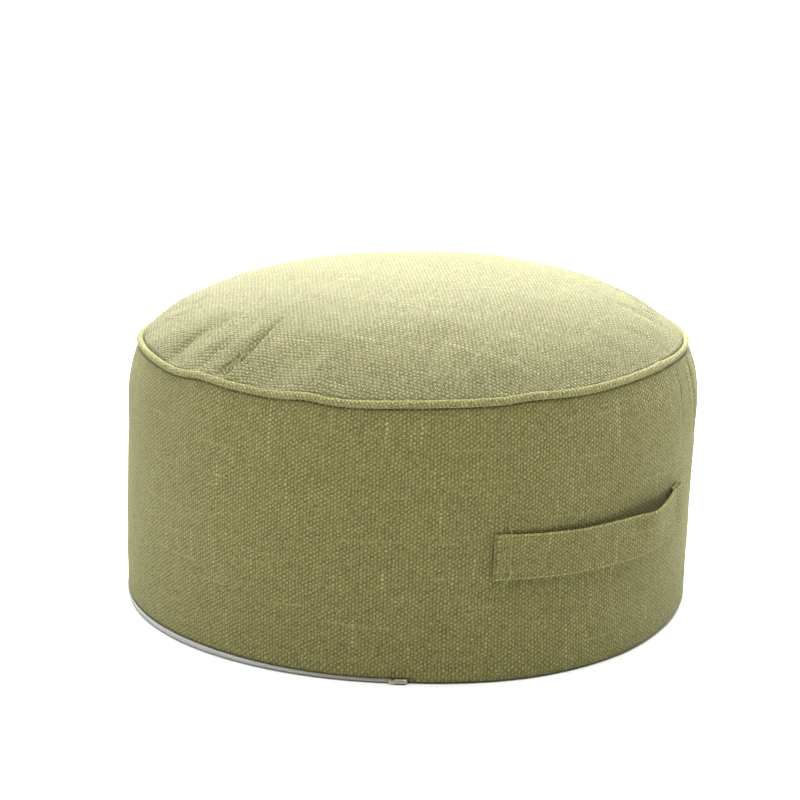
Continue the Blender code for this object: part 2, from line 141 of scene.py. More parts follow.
def piping_line():
    """Radius and height of the piping's middle at evenly spread azimuths."""
    corners = np.array([v.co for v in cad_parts["top_piping"].data.vertices], float)
    corners = np.unique(np.round(corners, DECIMALS), axis=0)
    x = corners[:, 0] - AXIS_FOOT[0] - LEAN * corners[:, 2]
    y = corners[:, 1] - AXIS_FOOT[1]
    azimuths = np.arctan2(x, -y)
    order = np.argsort(azimuths)
    sections = np.split(order, np.where(np.diff(azimuths[order]) > SECTION_STEP)[0] + 1)
    keys = [azimuths[s].mean() for s in sections]
    radii = [np.hypot(x[s], y[s]).mean() for s in sections]
    heights = [corners[s, 2].mean() for s in sections]
    spread = np.linspace(-math.pi, math.pi, SEAM_SAMPLES, endpoint=False)
    return [smoothed(np.interp(spread, keys, v, period=math.tau), LINE_SMOOTHING) for v in (radii, heights)]


seam_radii, seam_heights = piping_line()


def seam_at(azimuth):
    """Radius and height of the piping's middle here."""
    at = (wrapped(azimuth) + math.pi) / math.tau * SEAM_SAMPLES
    low = int(at) % SEAM_SAMPLES
    high = (low + 1) % SEAM_SAMPLES
    share = at - int(at)
    return (
        seam_radii[low] * (1 - share) + seam_radii[high] * share,
        seam_heights[low] * (1 - share) + seam_heights[high] * share,
    )


print("piping radius", seam_radii.min(), seam_radii.max(), "height", seam_heights.min(), seam_heights.max())

# %% [markdown]
# ## The cover's net
# The real cover is cut from a strip for the band and two rounds. Here it is one net, spun round the axis,
# whose rows run from the middle of the base over the band to the middle of the top. Spinning keeps the rows
# in line with the seams, which stay crisp. Each row is named by its panel and by the measure that places it:
# a share of the way, a height, or how far it lies under the piping's middle.

# %% Rows of the net
BASE_SHARES = (0.0, 0.12, 0.3, 0.5, 0.7, 0.85, 0.94, 0.975)
FOOT_HEIGHTS = (0.0009, 0.0030, 0.0052, 0.0058, 0.0075, 0.0100)
LIP_DROPS = (0.0075, 0.0055, 0.0042, 0.0034)  # rows just under the piping, from its middle down
CHANNEL_TURNS = (48, 90, 125)  # degrees round the piping, from straight down inwards
BAND_ROWS = 46
TOP_ROWS = 46
TOP_CROWDING = 0.8  # below 1, so the top's rows stand closer at its rim than at its middle

Row = namedtuple("Row", "panel kind value")
rows = [Row("base", "base", share) for share in BASE_SHARES] + [Row("base", "base", 1.0)]
rows += [Row("band", "height", height) for height in FOOT_HEIGHTS]
top_of_band = 1 - LIP_DROPS[0] / BAND_HEIGHT
first_of_band = FOOT_HEIGHTS[-1] / BAND_HEIGHT
for i in range(1, BAND_ROWS):
    rows.append(Row("band", "share", first_of_band + (top_of_band - first_of_band) * i / BAND_ROWS))
rows += [Row("band", "drop", drop) for drop in LIP_DROPS]
rows += [Row("band", "channel", math.radians(turn)) for turn in CHANNEL_TURNS]
for i in range(TOP_ROWS + 1):
    rows.append(Row("top", "top", (1 - i / TOP_ROWS) ** TOP_CROWDING))
print(len(rows), "rows from the middle of the base to the middle of the top")

# %% [markdown]
# ## Where the net is closer
# A pucker needs more points than open cloth. The upright lines of the net crowd together where the cloth is
# puckered, at the front left, at the right and behind, and stand further apart between.

# %% Gather the upright lines
SECTIONS = 720
FINE_PLACES = 3  # round the drum, a third of a turn apart
FINEST = math.radians(-43)
FINE_SHARE = 0.55  # how much closer the lines stand there


def gathered(turn):
    """Moves evenly spread upright lines closer together at the puckers."""
    return wrapped(turn - FINE_SHARE * math.sin(FINE_PLACES * (turn - FINEST)) / FINE_PLACES)


section_azimuths = [gathered(math.tau * k / SECTIONS) for k in range(SECTIONS)]
closest = wrapped(section_azimuths[1] - section_azimuths[0])
print(SECTIONS, "upright lines, at the front", round(math.degrees(closest), 3), "degrees apart")

# %% [markdown]
# ## The bent pucker
# The deep pucker of the solid is straight, and the real one bends and is narrower. So the top's rows read
# the solid a few degrees to the side, from a short table of where the two puckers run.

# %% Straighten the pucker's way
BentPucker = namedtuple("BentPucker", "radius real_azimuth solid_azimuth")
BENT_PUCKER = (  # where the real pucker runs, and the solid's, in degrees
    BentPucker(0.110, -42.6, -42.6),
    BentPucker(0.126, -41.9, -42.4),
    BentPucker(0.1451, -40.6, -42.2),
    BentPucker(0.1568, -40.1, -42.0),
    BentPucker(0.1766, -39.9, -41.8),
    BentPucker(0.1847, -40.4, -41.7),
    BentPucker(0.190, -41.1, -41.6),
)
PUCKER_REACH = math.radians(9)
PUCKER_PINCH, PINCH_REACH = 0.45, math.radians(3)  # the real one is narrower than the solid's


def straightened(azimuth, radius):
    """The azimuth at which the solid has what the real top has here."""
    real = math.radians(along(BENT_PUCKER, radius, "real_azimuth"))
    solid = math.radians(along(BENT_PUCKER, radius, "solid_azimuth"))
    aside = wrapped(azimuth - real)
    pinch = PUCKER_PINCH * aside * math.exp(-((aside / PINCH_REACH) ** 2))
    return azimuth + (solid - real + pinch) * math.exp(-((aside / PUCKER_REACH) ** 4))


bent_by = [round(row.real_azimuth - row.solid_azimuth, 1) for row in BENT_PUCKER]
print("the pucker bends aside by", bent_by, "degrees from its inner end outwards")

# %% [markdown]
# ## Laying the net on the solid
# Each row now takes its radius and height from the solid. The rows round the lower edge of the band are the
# hem over the zip. It hangs a little lower near the slider, as in the photo, and covers half of the tape.

# %% Lay the net on the solid
FOOT_ROUNDING = 0.003
CHANNEL_ROOM = 0.0028  # from the piping's middle to the wall of its channel
TOP_EDGE = 0.0042  # the top panel starts this far inside the piping's middle
CROWN_HEIGHT = BAND_HEIGHT + 0.03
WELL_ABOVE = Vector((0, 0, 0.1))
HEM_HEIGHTS = FOOT_HEIGHTS[2:5]
HEM_LOWERED = 0.0018
HEM_FROM, HEM_FULL, HEM_TO = math.radians(-48), math.radians(-12), math.radians(45)
NET_SMOOTHING = 8


def hem_lowered(azimuth):
    """How far the hem over the zip hangs down; it covers half of the tape near the slider."""
    there = smoothstep(HEM_FROM, HEM_FULL, azimuth) * smoothstep(HEM_TO, -HEM_FULL, azimuth)
    return HEM_LOWERED * there


def spot_on_row(row, azimuth):
    """Radius and height of the solid's surface where this row crosses this azimuth."""
    seam_radius, seam_height = seam_at(azimuth)
    if row.kind == "base":
        return (radius_of(body_solid, azimuth, FOOT_ROUNDING) - FOOT_ROUNDING) * row.value, 0.0
    if row.kind == "channel":
        inwards, upwards = CHANNEL_ROOM * math.sin(row.value), -CHANNEL_ROOM * math.cos(row.value)
        return seam_radius - inwards, seam_height + upwards
    if row.kind == "top":
        radius = (seam_radius - TOP_EDGE) * row.value
        above = around_axis(straightened(azimuth, radius), radius, CROWN_HEIGHT)
        hit = body_solid.ray_cast(above + WELL_ABOVE, Vector((0, 0, -1)))[0]
        return radius, hit.z
    heights = {"height": row.value, "share": row.value * seam_height, "drop": seam_height - row.value}
    height = heights[row.kind]
    lowered = hem_lowered(azimuth) if row.kind == "height" and row.value in HEM_HEIGHTS else 0.0
    return radius_of(body_solid, azimuth, height), height - lowered


net_radii = np.zeros((len(rows), SECTIONS))
net_heights = np.zeros((len(rows), SECTIONS))
for r, row in enumerate(rows):
    for k, azimuth in enumerate(section_azimuths):
        net_radii[r, k], net_heights[r, k] = spot_on_row(row, azimuth)
    net_radii[r] = smoothed(net_radii[r], NET_SMOOTHING)
    net_heights[r] = smoothed(net_heights[r], NET_SMOOTHING)
print("net laid on the solid, from", net_heights.min(), "to", net_heights.max())

# %% [markdown]
# ## Plumping the cover
# A stuffed cover is never as even as a turned solid: the filling presses it out between its seams, and the
# slack cloth settles in soft dents. A cloth simulation finds them. It needs an even net of small squares, so
# it starts from a coarse copy of the body, a little smaller, that a voxel remesh has evened out.

# %% Make the coarse copy
VOXEL = 0.006
SHRINK_START = 0.995
SAME_POINT = 1e-6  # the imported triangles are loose, so their shared corners are merged


def coarse_copy(source):
    """The solid as an even net of small squares."""
    bm = bmesh.new()
    bm.from_mesh(source.data)
    bmesh.ops.remove_doubles(bm, verts=bm.verts[:], dist=SAME_POINT)
    middle = Vector((0, 0, BAND_HEIGHT / 2))
    bmesh.ops.scale(bm, vec=(SHRINK_START,) * 3, space=Matrix.Translation(-middle), verts=bm.verts[:])
    mesh = bpy.data.meshes.new("coarse")
    bm.to_mesh(mesh)
    bm.free()
    coarse = bpy.data.objects.new("coarse", mesh)
    bpy.context.scene.collection.objects.link(coarse)
    remesh = coarse.modifiers.new("even net", "REMESH")
    remesh.mode = "VOXEL"
    remesh.voxel_size = VOXEL
    even = bpy.data.meshes.new_from_object(coarse.evaluated_get(bpy.context.evaluated_depsgraph_get()))
    coarse.modifiers.clear()
    coarse.data = even
    return coarse


# %% [markdown]
# ## Blowing it up
# The copy is held at its two seams and under its base and blown up, with slightly more cloth than the form
# needs. No point may move far, so that the cushion keeps its size.

# %% Simulate the slack of the cover
SLACK = 0.02
PRESSURE = 4.0
STEPS = 20
MOST_SWELL = 0.008  # cap on how far a point may move
HELD_BY_SEAM = (0.006, 0.016)  # held up to the first distance, free from the second
HELD_BY_BASE = (0.004, 0.012)


def held_share(point):
    """1 at the two seams and under the base, which the filling can't move; 0 on the open cloth."""
    azimuth = math.atan2(point.x - AXIS_FOOT[0] - LEAN * point.z, AXIS_FOOT[1] - point.y)
    seam_radius, seam_height = seam_at(azimuth)
    seam = (point - around_axis(azimuth, seam_radius, seam_height)).length
    return max(1 - smoothstep(*HELD_BY_SEAM, seam), 1 - smoothstep(*HELD_BY_BASE, point.z))


def plumped_moves():
    """Where the points of the coarse copy stood, and how far the filling moved each."""
    coarse = coarse_copy(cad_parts["cushion_body"])
    held = coarse.vertex_groups.new(name="held")
    for vertex in coarse.data.vertices:
        held.add([vertex.index], held_share(vertex.co), "REPLACE")
    before = [vertex.co.copy() for vertex in coarse.data.vertices]
    cloth = coarse.modifiers.new("filling", "CLOTH")
    cloth.settings.use_pressure = True
    cloth.settings.uniform_pressure_force = PRESSURE
    cloth.settings.vertex_group_mass = "held"
    cloth.settings.shrink_min = -SLACK
    cloth.settings.effector_weights.gravity = 0.0
    cloth.point_cache.frame_start = 1
    cloth.point_cache.frame_end = STEPS
    for step in range(1, STEPS + 1):
        bpy.context.scene.frame_set(step)
    settled = coarse.evaluated_get(bpy.context.evaluated_depsgraph_get()).to_mesh()
    moves = []
    for start, vertex in zip(before, settled.vertices):
        move = vertex.co - start
        moves.append(move * min(1.0, MOST_SWELL / max(move.length, 1e-9)))
    bpy.data.objects.remove(coarse, do_unlink=True)
    bpy.context.scene.frame_set(1)
    print(len(before), "points blown up, the furthest by", max(move.length for move in moves))
    return before, moves


# %% [markdown]
# ## Reading the filling back
# What the simulation moved is read back onto the fine net from the nearest points of the coarse copy. The
# even swelling is left out, because the solid already has it.

# %% Read the filling's push back onto the net
NEAREST = 4
LEAST_DISTANCE = 0.001  # keeps a point that lies on another from taking all the weight


def read_back(before, moves):
    """The coarse moves on the fine net, as a push outwards at each of its points, less each row's mean."""
    tree = KDTree(len(before))
    for i, point in enumerate(before):
        tree.insert(point, i)
    tree.balance()
    push = np.zeros_like(net_radii)
    for r, row in enumerate(rows):
        for k, azimuth in enumerate(section_azimuths):
            spot = around_axis(azimuth, net_radii[r, k], net_heights[r, k])
            facing = Vector((0, 0, 1)) if row.panel == "top" else outward(azimuth)
            near = tree.find_n(spot, NEAREST)
            weights = [1 / (distance + LEAST_DISTANCE) for _, _, distance in near]
            total = sum((moves[i] * w for (_, i, _), w in zip(near, weights)), Vector())
            push[r, k] = (total / sum(weights)).dot(facing)
        push[r] -= push[r].mean()
    return push


push = read_back(*plumped_moves())
print("filling pushes the cover from", push.min(), "to", push.max())

# %% [markdown]
# ## Creases and soft dents
# Some folds are this cushion's own, such as the crease that runs in from the front left of the piping and
# the hollows beside it. They go on after the simulation, as in a workroom, from a short table. Each has its
# way, its depth, a width to either side and the small ridge that a crease pushes up at its right.

# %% Folds of the top panel
TopFold = namedtuple("TopFold", "depth left_width right_width ridge ridge_width path")
LONG_CREASE = (  # azimuth in degrees, and radius, from the rim inwards
    (-40.5, 0.190), (-39.6, 0.1847), (-39.3, 0.1766), (-39.7, 0.1568), (-40.3, 0.1451), (-41.8, 0.120),
)
ITS_DOUBLE = ((-42.6, 0.190), (-41.6, 0.1847), (-41.2, 0.1766), (-41.0, 0.160))
TOP_FOLDS = (
    TopFold(0.0019, 0.0026, 0.0010, 0.0011, 0.0028, LONG_CREASE),
    TopFold(0.0014, 0.0011, 0.0008, 0.0005, 0.0010, ITS_DOUBLE),
    TopFold(0.0012, 0.0034, 0.0010, 0.0009, 0.0016, ((-47.4, 0.191), (-47.6, 0.1758), (-48.2, 0.150))),
    TopFold(0.0005, 0.0012, 0.0012, 0.0003, 0.0014, ((-51.0, 0.191), (-53.4, 0.1878), (-56.0, 0.184))),
    TopFold(0.0013, 0.0050, 0.0030, 0.0008, 0.0050, ((-58.7, 0.190), (-59.0, 0.178), (-59.6, 0.158))),
    TopFold(0.0009, 0.0070, 0.0050, 0.0004, 0.0060, ((-29.6, 0.190), (-29.9, 0.160), (-26.6, 0.138))),
    TopFold(0.0006, 0.0060, 0.0060, 0.0003, 0.0060, ((-22.7, 0.190), (-23.0, 0.170), (-21.0, 0.148))),
)
FOLD_OVERRUN = 0.3  # how far a fold runs on under the piping, as a share of its way
FOLD_NARROWS = 0.45  # it gets this much narrower on its way inwards
FOLD_FADES = 0.55  # it grows shallower from this share of its way


def top_fold_depth(azimuth, radius):
    depth = 0.0
    for fold in TOP_FOLDS:
        azimuths, radii = zip(*fold.path[::-1])
        inward = (radii[-1] - radius) / (radii[-1] - radii[0])
        if not -FOLD_OVERRUN < inward < 1:
            continue
        middle = math.radians(np.interp(radius, radii, azimuths))
        aside = radius * wrapped(azimuth - middle)
        narrowing = 1 - FOLD_NARROWS * max(inward, 0.0)
        width = (fold.left_width if aside < 0 else fold.right_width) * narrowing
        lip = (aside - fold.right_width - fold.ridge_width) / fold.ridge_width
        shape = fold.depth * math.exp(-((aside / width) ** 2)) - fold.ridge * math.exp(-lip * lip)
        depth += shape * (1 - smoothstep(FOLD_FADES, 1.0, inward))
    return depth


print(len(TOP_FOLDS), "folds in the top, the deepest", max(fold.depth for fold in TOP_FOLDS), "m")

# %% [markdown]
# ## Gathers of the band
# Where the band is a little longer than the round it is sewn to, it is eased in, and gathers hang down from
# the seam. They show at the right. Each drifts aside a little on its way down and fades out at its foot.

# %% Folds of the band
BandFold = namedtuple("BandFold", "azimuth low high drift depth half_width")
BAND_FOLDS = (
    BandFold(64.0, 0.130, 0.180, 0.5, 0.0009, 0.0022),
    BandFold(69.5, 0.120, 0.180, 0.8, -0.0007, 0.0026),
    BandFold(73.0, 0.110, 0.180, 1.2, 0.0012, 0.0024),
    BandFold(80.0, 0.125, 0.180, 1.0, 0.0009, 0.0028),
    BandFold(-71.0, 0.135, 0.180, -1.0, 0.0005, 0.0040),
    BandFold(-52.0, 0.150, 0.181, -0.6, 0.0004, 0.0030),
    BandFold(118.0, 0.120, 0.180, 1.0, 0.0009, 0.0030),
    BandFold(146.0, 0.100, 0.180, -1.2, 0.0008, 0.0034),
    BandFold(-148.0, 0.115, 0.180, 1.0, 0.0009, 0.0030),
    BandFold(-116.0, 0.130, 0.180, 0.8, 0.0007, 0.0030),
)
GATHER_OVERRUN = 1.05  # a gather runs on up to the seam
GATHER_FULL = 0.8  # as deep as it gets, from this share of its way up


def band_fold_depth(azimuth, height):
    depth = 0.0
    for fold in BAND_FOLDS:
        upward = (height - fold.low) / (fold.high - fold.low)
        if not 0 < upward < GATHER_OVERRUN:
            continue
        middle = math.radians(fold.azimuth + fold.drift * (1 - upward))
        aside = BAND_RADIUS * wrapped(azimuth - middle) / fold.half_width
        depth += fold.depth * smoothstep(0, GATHER_FULL, upward) * math.exp(-aside * aside)
    return depth


print(len(BAND_FOLDS), "gathers in the band, the deepest", max(fold.depth for fold in BAND_FOLDS), "m")

# %% [markdown]
# ## Unevenness all over
# Three faint things make sewn and filled cloth look real: short puckers where the seam's stitches draw it
# in, broad soft dents, and a fuller shoulder just inside the seam, where the filling is pushed to the rim.
# Smooth noise gives the first two, and a curve that rises and falls again gives the shoulder.

# %% Pulls, softness and shoulder
PULL_DEPTH, PULL_LENGTH, PULL_REACH = 0.00045, 0.0034, 0.006
PULLS_VARY, PULLS_SHIFT = 40, 25  # to the metre
BROAD_DENT, BROAD_PER_METRE = 0.0011, 14
FINE_DENT, FINE_PER_METRE = 0.00035, 45
FINE_SHIFT = Vector((5.0, 2.0, 8.0))  # keeps the fine dents off the broad ones
SHOULDER_RISE, SHOULDER_REACH = 0.0009, 0.080
SHOULDER_PEAK = 6.75  # brings the top of t * (1 - t) ** 2 to 1


def pulls_of_stitching(azimuth, distance):
    """Short, shallow puckers where the seam's stitches draw the cloth in."""
    along_seam = BAND_RADIUS * azimuth
    uneven = 0.5 + 0.5 * noise.noise(Vector((along_seam * PULLS_VARY, 3.1, 0.0)))
    shift = 3.0 * noise.noise(Vector((along_seam * PULLS_SHIFT, 9.7, 0.0)))
    wave = math.sin(along_seam / PULL_LENGTH + shift)
    return PULL_DEPTH * uneven * wave * math.exp(-distance / PULL_REACH)


def softness(azimuth, height, radius):
    """Broad, faint unevenness of a filled cover."""
    point = Vector((math.sin(azimuth) * radius, math.cos(azimuth) * radius, height))
    broad = noise.noise(point * BROAD_PER_METRE)
    fine = noise.noise(point * FINE_PER_METRE + FINE_SHIFT)
    return BROAD_DENT * broad + FINE_DENT * fine


def shoulder_rise(azimuth, distance):
    """The filling stands a little fuller just inside the seam, most at the left and right."""
    inward = min(max(distance / SHOULDER_REACH, 0.0), 1.0)
    most_here = 0.7 - 0.3 * math.cos(2 * azimuth)
    return SHOULDER_RISE * most_here * SHOULDER_PEAK * inward * (1 - inward) ** 2


print("the shoulder stands up to", shoulder_rise(math.pi / 2, SHOULDER_REACH / 3), "m fuller")

# %% [markdown]
# ## Pressing it all in
# Every row of the net takes the filling's push, the softness and the folds. On the top they move it up and
# down, on the band in and out, and all of them fade out towards the seam, which holds the cloth.

# %% Press the folds into the net
TOP_PUSH, BAND_PUSH = 0.9, 0.3  # the band's cloth is cut tighter than the top's
FREE_FROM_RIM, FREE_FROM_LIP = 0.020, 0.030  # as far from the seam the cloth moves freely
FREE_FROM_FOOT = (0.006, 0.030)
FOLDED_FROM_RIM, FOLDED_FROM_LIP = (-0.001, 0.003), (-0.001, 0.006)
STITCHES_IN = 0.001  # how far the seam's stitches lie behind its edge
for r, row in enumerate(rows):
    if row.kind in ("base", "channel"):
        continue
    for k, azimuth in enumerate(section_azimuths):
        radius, height = net_radii[r, k], net_heights[r, k]
        seam_radius, seam_height = seam_at(azimuth)
        if row.panel == "top":
            distance = seam_radius - TOP_EDGE - radius
            free = smoothstep(0.0, FREE_FROM_RIM, distance)
            net_heights[r, k] += free * (TOP_PUSH * push[r, k] + softness(azimuth, height, radius))
            net_heights[r, k] += shoulder_rise(azimuth, distance)
            net_heights[r, k] -= top_fold_depth(azimuth, radius) * smoothstep(*FOLDED_FROM_RIM, distance)
            net_heights[r, k] += pulls_of_stitching(azimuth, distance + STITCHES_IN)
        else:
            distance = seam_height - LIP_DROPS[-1] - height
            free = smoothstep(0.0, FREE_FROM_LIP, distance) * smoothstep(*FREE_FROM_FOOT, height)
            net_radii[r, k] += free * (BAND_PUSH * push[r, k] + softness(azimuth, height, radius))
            net_radii[r, k] -= band_fold_depth(azimuth, height) * smoothstep(*FOLDED_FROM_LIP, distance)
            net_radii[r, k] += pulls_of_stitching(azimuth, distance + STITCHES_IN)
print("creases pressed in; the top's middle is at", net_heights[-1].mean())

# %% [markdown]
# ## Spinning the cover
# The cover and its piping are both rounds, so one function spins a section round the axis and then moves
# each point to its real place. The number of a point's row is kept in a layer, which the spin copies along,
# and its turn is read from where it then stands. A second function makes a finished bmesh a piece that rides
# on the cushion.

# %% Spin a section and finish a piece
UV_NAME = "cloth"


def finished(bm, name, hide_nodes):
    """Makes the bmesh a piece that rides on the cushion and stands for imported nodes."""
    mesh = bpy.data.meshes.new(name)
    bm.to_mesh(mesh)
    bm.free()
    mesh.shade_smooth()
    made = bpy.data.objects.new(name, mesh)
    bpy.context.scene.collection.objects.link(made)
    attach(made, "root")
    if hide_nodes:
        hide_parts(*hide_nodes)
    print(name, len(mesh.polygons), "faces")
    return made


def spun(points, closed, sections, place):
    """Spins a section round the axis and moves each point to place(row, turn)."""
    bm = bmesh.new()
    number = bm.verts.layers.int.new("row")
    section = [bm.verts.new((radius, 0.0, height)) for radius, height in points]
    for i, vertex in enumerate(section):
        vertex[number] = i
    pairs = list(zip(section, section[1:])) + ([(section[-1], section[0])] if closed else [])
    edges = [bm.edges.new(pair) for pair in pairs]
    bmesh.ops.spin(
        bm,
        geom=section + edges,
        cent=(0, 0, 0),
        axis=(0, 0, 1),
        angle=math.tau,
        steps=sections,
        use_merge=True,
    )
    turn_of = bm.verts.layers.float.new("turn")
    number = bm.verts.layers.int["row"]  # looked up again, because a new layer moves the others
    for vertex in bm.verts:
        vertex[turn_of] = math.atan2(vertex.co.y, vertex.co.x) % math.tau
    for vertex in bm.verts:
        vertex.co = place(vertex[number], vertex[turn_of])
    bmesh.ops.recalc_face_normals(bm, faces=bm.faces[:])
    return bm


def cloth_length(path):
    """Distance along a string of points, from its first."""
    steps = [0.0] + [(b - a).length for a, b in zip(path, path[1:])]
    return np.cumsum(steps)


print("ready to spin", len(rows), "rows into", SECTIONS, "sections")

# %% [markdown]
# ## The cover
# The section is one string of points, and a full spin with its ends merged makes the whole skin. Cloth
# patterns must follow the cloth, so each panel also gets flat coordinates in metres: the band unrolls into a
# strip, and the rounds lie flat, measured along the cloth from the middle outwards.

# %% Spin the cover and lay out its panels
POLE_RADIUS = 0.0001  # the middle rows start as tiny rounds, which are merged at the end
MERGE_DISTANCE = 1e-5


def make_cover():
    def place(row, turn):
        k = round(turn / math.tau * SECTIONS) % SECTIONS
        return around_axis(section_azimuths[k], net_radii[row, k], net_heights[row, k])

    points = [(net_radii[r].mean(), net_heights[r].mean()) for r in range(len(rows))]
    points[0] = (POLE_RADIUS, points[0][1])
    points[-1] = (POLE_RADIUS, points[-1][1])
    bm = spun(points, False, SECTIONS, place)
    number = bm.verts.layers.int["row"]
    turn_of = bm.verts.layers.float["turn"]
    cloth = bm.loops.layers.uv.new(UV_NAME)
    flat = [Vector((radius, 0, height)) for radius, height in points]
    from_base = cloth_length(flat)
    from_top = cloth_length(flat[::-1])[::-1]
    for face in bm.faces:
        highest = max(vertex[number] for vertex in face.verts)
        panel = rows[highest].panel
        face.material_index = {"base": 0, "band": 1, "top": 2}[panel]
        for loop in face.loops:
            row = loop.vert[number]
            azimuth = gathered(loop.vert[turn_of])
            if panel == "band":
                loop[cloth].uv = (azimuth * BAND_RADIUS, net_heights[row].mean())
            else:
                length = from_base[row] if panel == "base" else from_top[row]
                loop[cloth].uv = (length * math.sin(azimuth), -length * math.cos(azimuth))
        if panel == "band":
            around = [loop[cloth].uv.x for loop in face.loops]
            if max(around) - min(around) > BAND_RADIUS:
                for loop in face.loops:
                    if loop[cloth].uv.x < 0:
                        loop[cloth].uv.x += math.tau * BAND_RADIUS
    bmesh.ops.remove_doubles(bm, verts=bm.verts[:], dist=MERGE_DISTANCE)
    return finished(bm, "cushion_cover", ["cushion_body"])


cover = make_cover()
cover_surface = surface_of(cover.data)

# %% [markdown]
# ## The piping
# Piping is a cord wrapped in a strip of the same cloth, cut across the weave so that it bends, and sewn into
# the seam by its flange. It is never quite even: it swells between the stitches, and where its two ends
# meet, at the front right, it has a small knot. So its thickness is a function of the place round the seam.

# %% The piping's thickness
PIPING_RADIUS = 0.0024
KNOT_AZIMUTH = math.radians(57.4)
KNOT_HEIGHT, KNOT_HALF_LENGTH = 0.00055, 0.0022
NECK_SHARE, NECK_AWAY, NECK_HALF_LENGTH = 0.6, 0.0042, 0.0014  # the thin place to the right of the knot
SWELL_SHARE, SWELLS_PER_METRE = 0.05, 110
WRINKLE_SHARE, WRINKLES_PER_METRE = 0.035, 420
PipingSize = namedtuple("PipingSize", "azimuth radius")
PIPING_SIZES = (  # the cord's thickness varies round the seam
    PipingSize(-180, 0.00235),
    PipingSize(-95, 0.00235),
    PipingSize(-60, 0.00240),
    PipingSize(-20, 0.00250),
    PipingSize(20, 0.00262),
    PipingSize(50, 0.00268),
    PipingSize(57, 0.00262),
    PipingSize(62, 0.00232),
    PipingSize(90, 0.00225),
    PipingSize(180, 0.00235),
)


def piping_radius(azimuth, turn):
    along_seam = SEAM_RADIUS * azimuth
    radius = along(PIPING_SIZES, math.degrees(azimuth), "radius")
    swell = noise.noise(Vector((along_seam * SWELLS_PER_METRE, 1.3, 4.0)))
    around = Vector((along_seam * WRINKLES_PER_METRE, math.cos(turn) * 2, math.sin(turn) * 2))
    radius *= 1 + SWELL_SHARE * swell
    radius *= 1 + WRINKLE_SHARE * noise.noise(around)
    away = SEAM_RADIUS * wrapped(azimuth - KNOT_AZIMUTH)
    neck = NECK_SHARE * math.exp(-(((away - NECK_AWAY) / NECK_HALF_LENGTH) ** 2))
    knot = math.exp(-((away / KNOT_HALF_LENGTH) ** 2)) - neck
    return radius + KNOT_HEIGHT * knot


print("the knot is", 2 * piping_radius(KNOT_AZIMUTH, 0.0), "m thick")

# %% [markdown]
# ## Laying the piping in the seam
# A circle is spun round the axis and each point is laid on the seam's line, which strays a little up and
# down as it was sewn. Its flat coordinates run along the seam and round the cord. Where a face closes the
# ring or the circle, they run on past the full turn, so that the pattern doesn't run backwards there.

# %% Make the piping
PIPING_SIDES = 14
PIPING_SECTIONS = 900
STANDS_PROUD = 0.0002  # further out than the piping of the solids
SEWN_ASTRAY, STRAYS_PER_METRE = 0.00028, 60


def make_piping():
    turns = [math.tau * i / PIPING_SIDES for i in range(PIPING_SIDES)]

    def place(side, turn):
        azimuth = wrapped(turn)
        seam_radius, seam_height = seam_at(azimuth)
        along_seam = SEAM_RADIUS * azimuth
        seam_height += SEWN_ASTRAY * noise.noise(Vector((along_seam * STRAYS_PER_METRE, 7.7, 0.0)))
        radius = piping_radius(azimuth, turns[side])
        return around_axis(
            azimuth,
            seam_radius + STANDS_PROUD + radius * math.cos(turns[side]),
            seam_height + radius * math.sin(turns[side]),
        )

    circle = [(PIPING_RADIUS * math.cos(turn), PIPING_RADIUS * math.sin(turn)) for turn in turns]
    points = [(SEAM_RADIUS + out, BAND_HEIGHT + up) for out, up in circle]
    bm = spun(points, True, PIPING_SECTIONS, place)
    number = bm.verts.layers.int["row"]
    turn_of = bm.verts.layers.float["turn"]
    cloth = bm.loops.layers.uv.new(UV_NAME)
    girth = math.tau * PIPING_RADIUS
    for face in bm.faces:
        sides = [loop.vert[number] for loop in face.loops]
        lengths = [loop.vert[turn_of] for loop in face.loops]
        for loop, side, length in zip(face.loops, sides, lengths):
            side += PIPING_SIDES if max(sides) - side > PIPING_SIDES / 2 else 0
            length += math.tau if max(lengths) - length > math.pi else 0
            loop[cloth].uv = (length * SEAM_RADIUS, side / PIPING_SIDES * girth)
    return finished(bm, "seam_piping", ["top_piping"])


piping = make_piping()

# %% [markdown]
# ## The handle
# The handle is a strip of the same cloth folded in two, so its long edges are soft folds. Each end is turned
# under and sewn down, and the strip between is a little longer than the band it spans, so it bows out, most
# at its kink near the right end. A short table holds its route. The strip follows the dressed band, not the
# solid, so that its ends lie flat.

# %% The handle's route
STRAP_WIDTH = 0.0296
StrapPoint = namedtuple("StrapPoint", "azimuth centre_height low_gap high_gap")
STRAP_ROUTE = (  # the cloth's middle between its two folds: degrees, then metres off the band
    StrapPoint(15.8, 0.0833, 0.0034, 0.0034),
    StrapPoint(19.4, 0.0830, 0.0031, 0.0031),
    StrapPoint(24.0, 0.0822, 0.0033, 0.0036),
    StrapPoint(28.5, 0.0815, 0.0036, 0.0042),
    StrapPoint(33.0, 0.0812, 0.0040, 0.0048),
    StrapPoint(38.0, 0.0811, 0.0043, 0.0048),
    StrapPoint(42.0, 0.0813, 0.0047, 0.0054),
    StrapPoint(46.0, 0.0818, 0.0053, 0.0070),
    StrapPoint(49.2, 0.0821, 0.0060, 0.0104),
    StrapPoint(50.8, 0.0823, 0.0058, 0.0106),
    StrapPoint(53.0, 0.0829, 0.0054, 0.0092),
    StrapPoint(57.0, 0.0843, 0.0044, 0.0064),
    StrapPoint(60.5, 0.0860, 0.0031, 0.0040),
    StrapPoint(64.4, 0.0885, 0.0034, 0.0034),
)


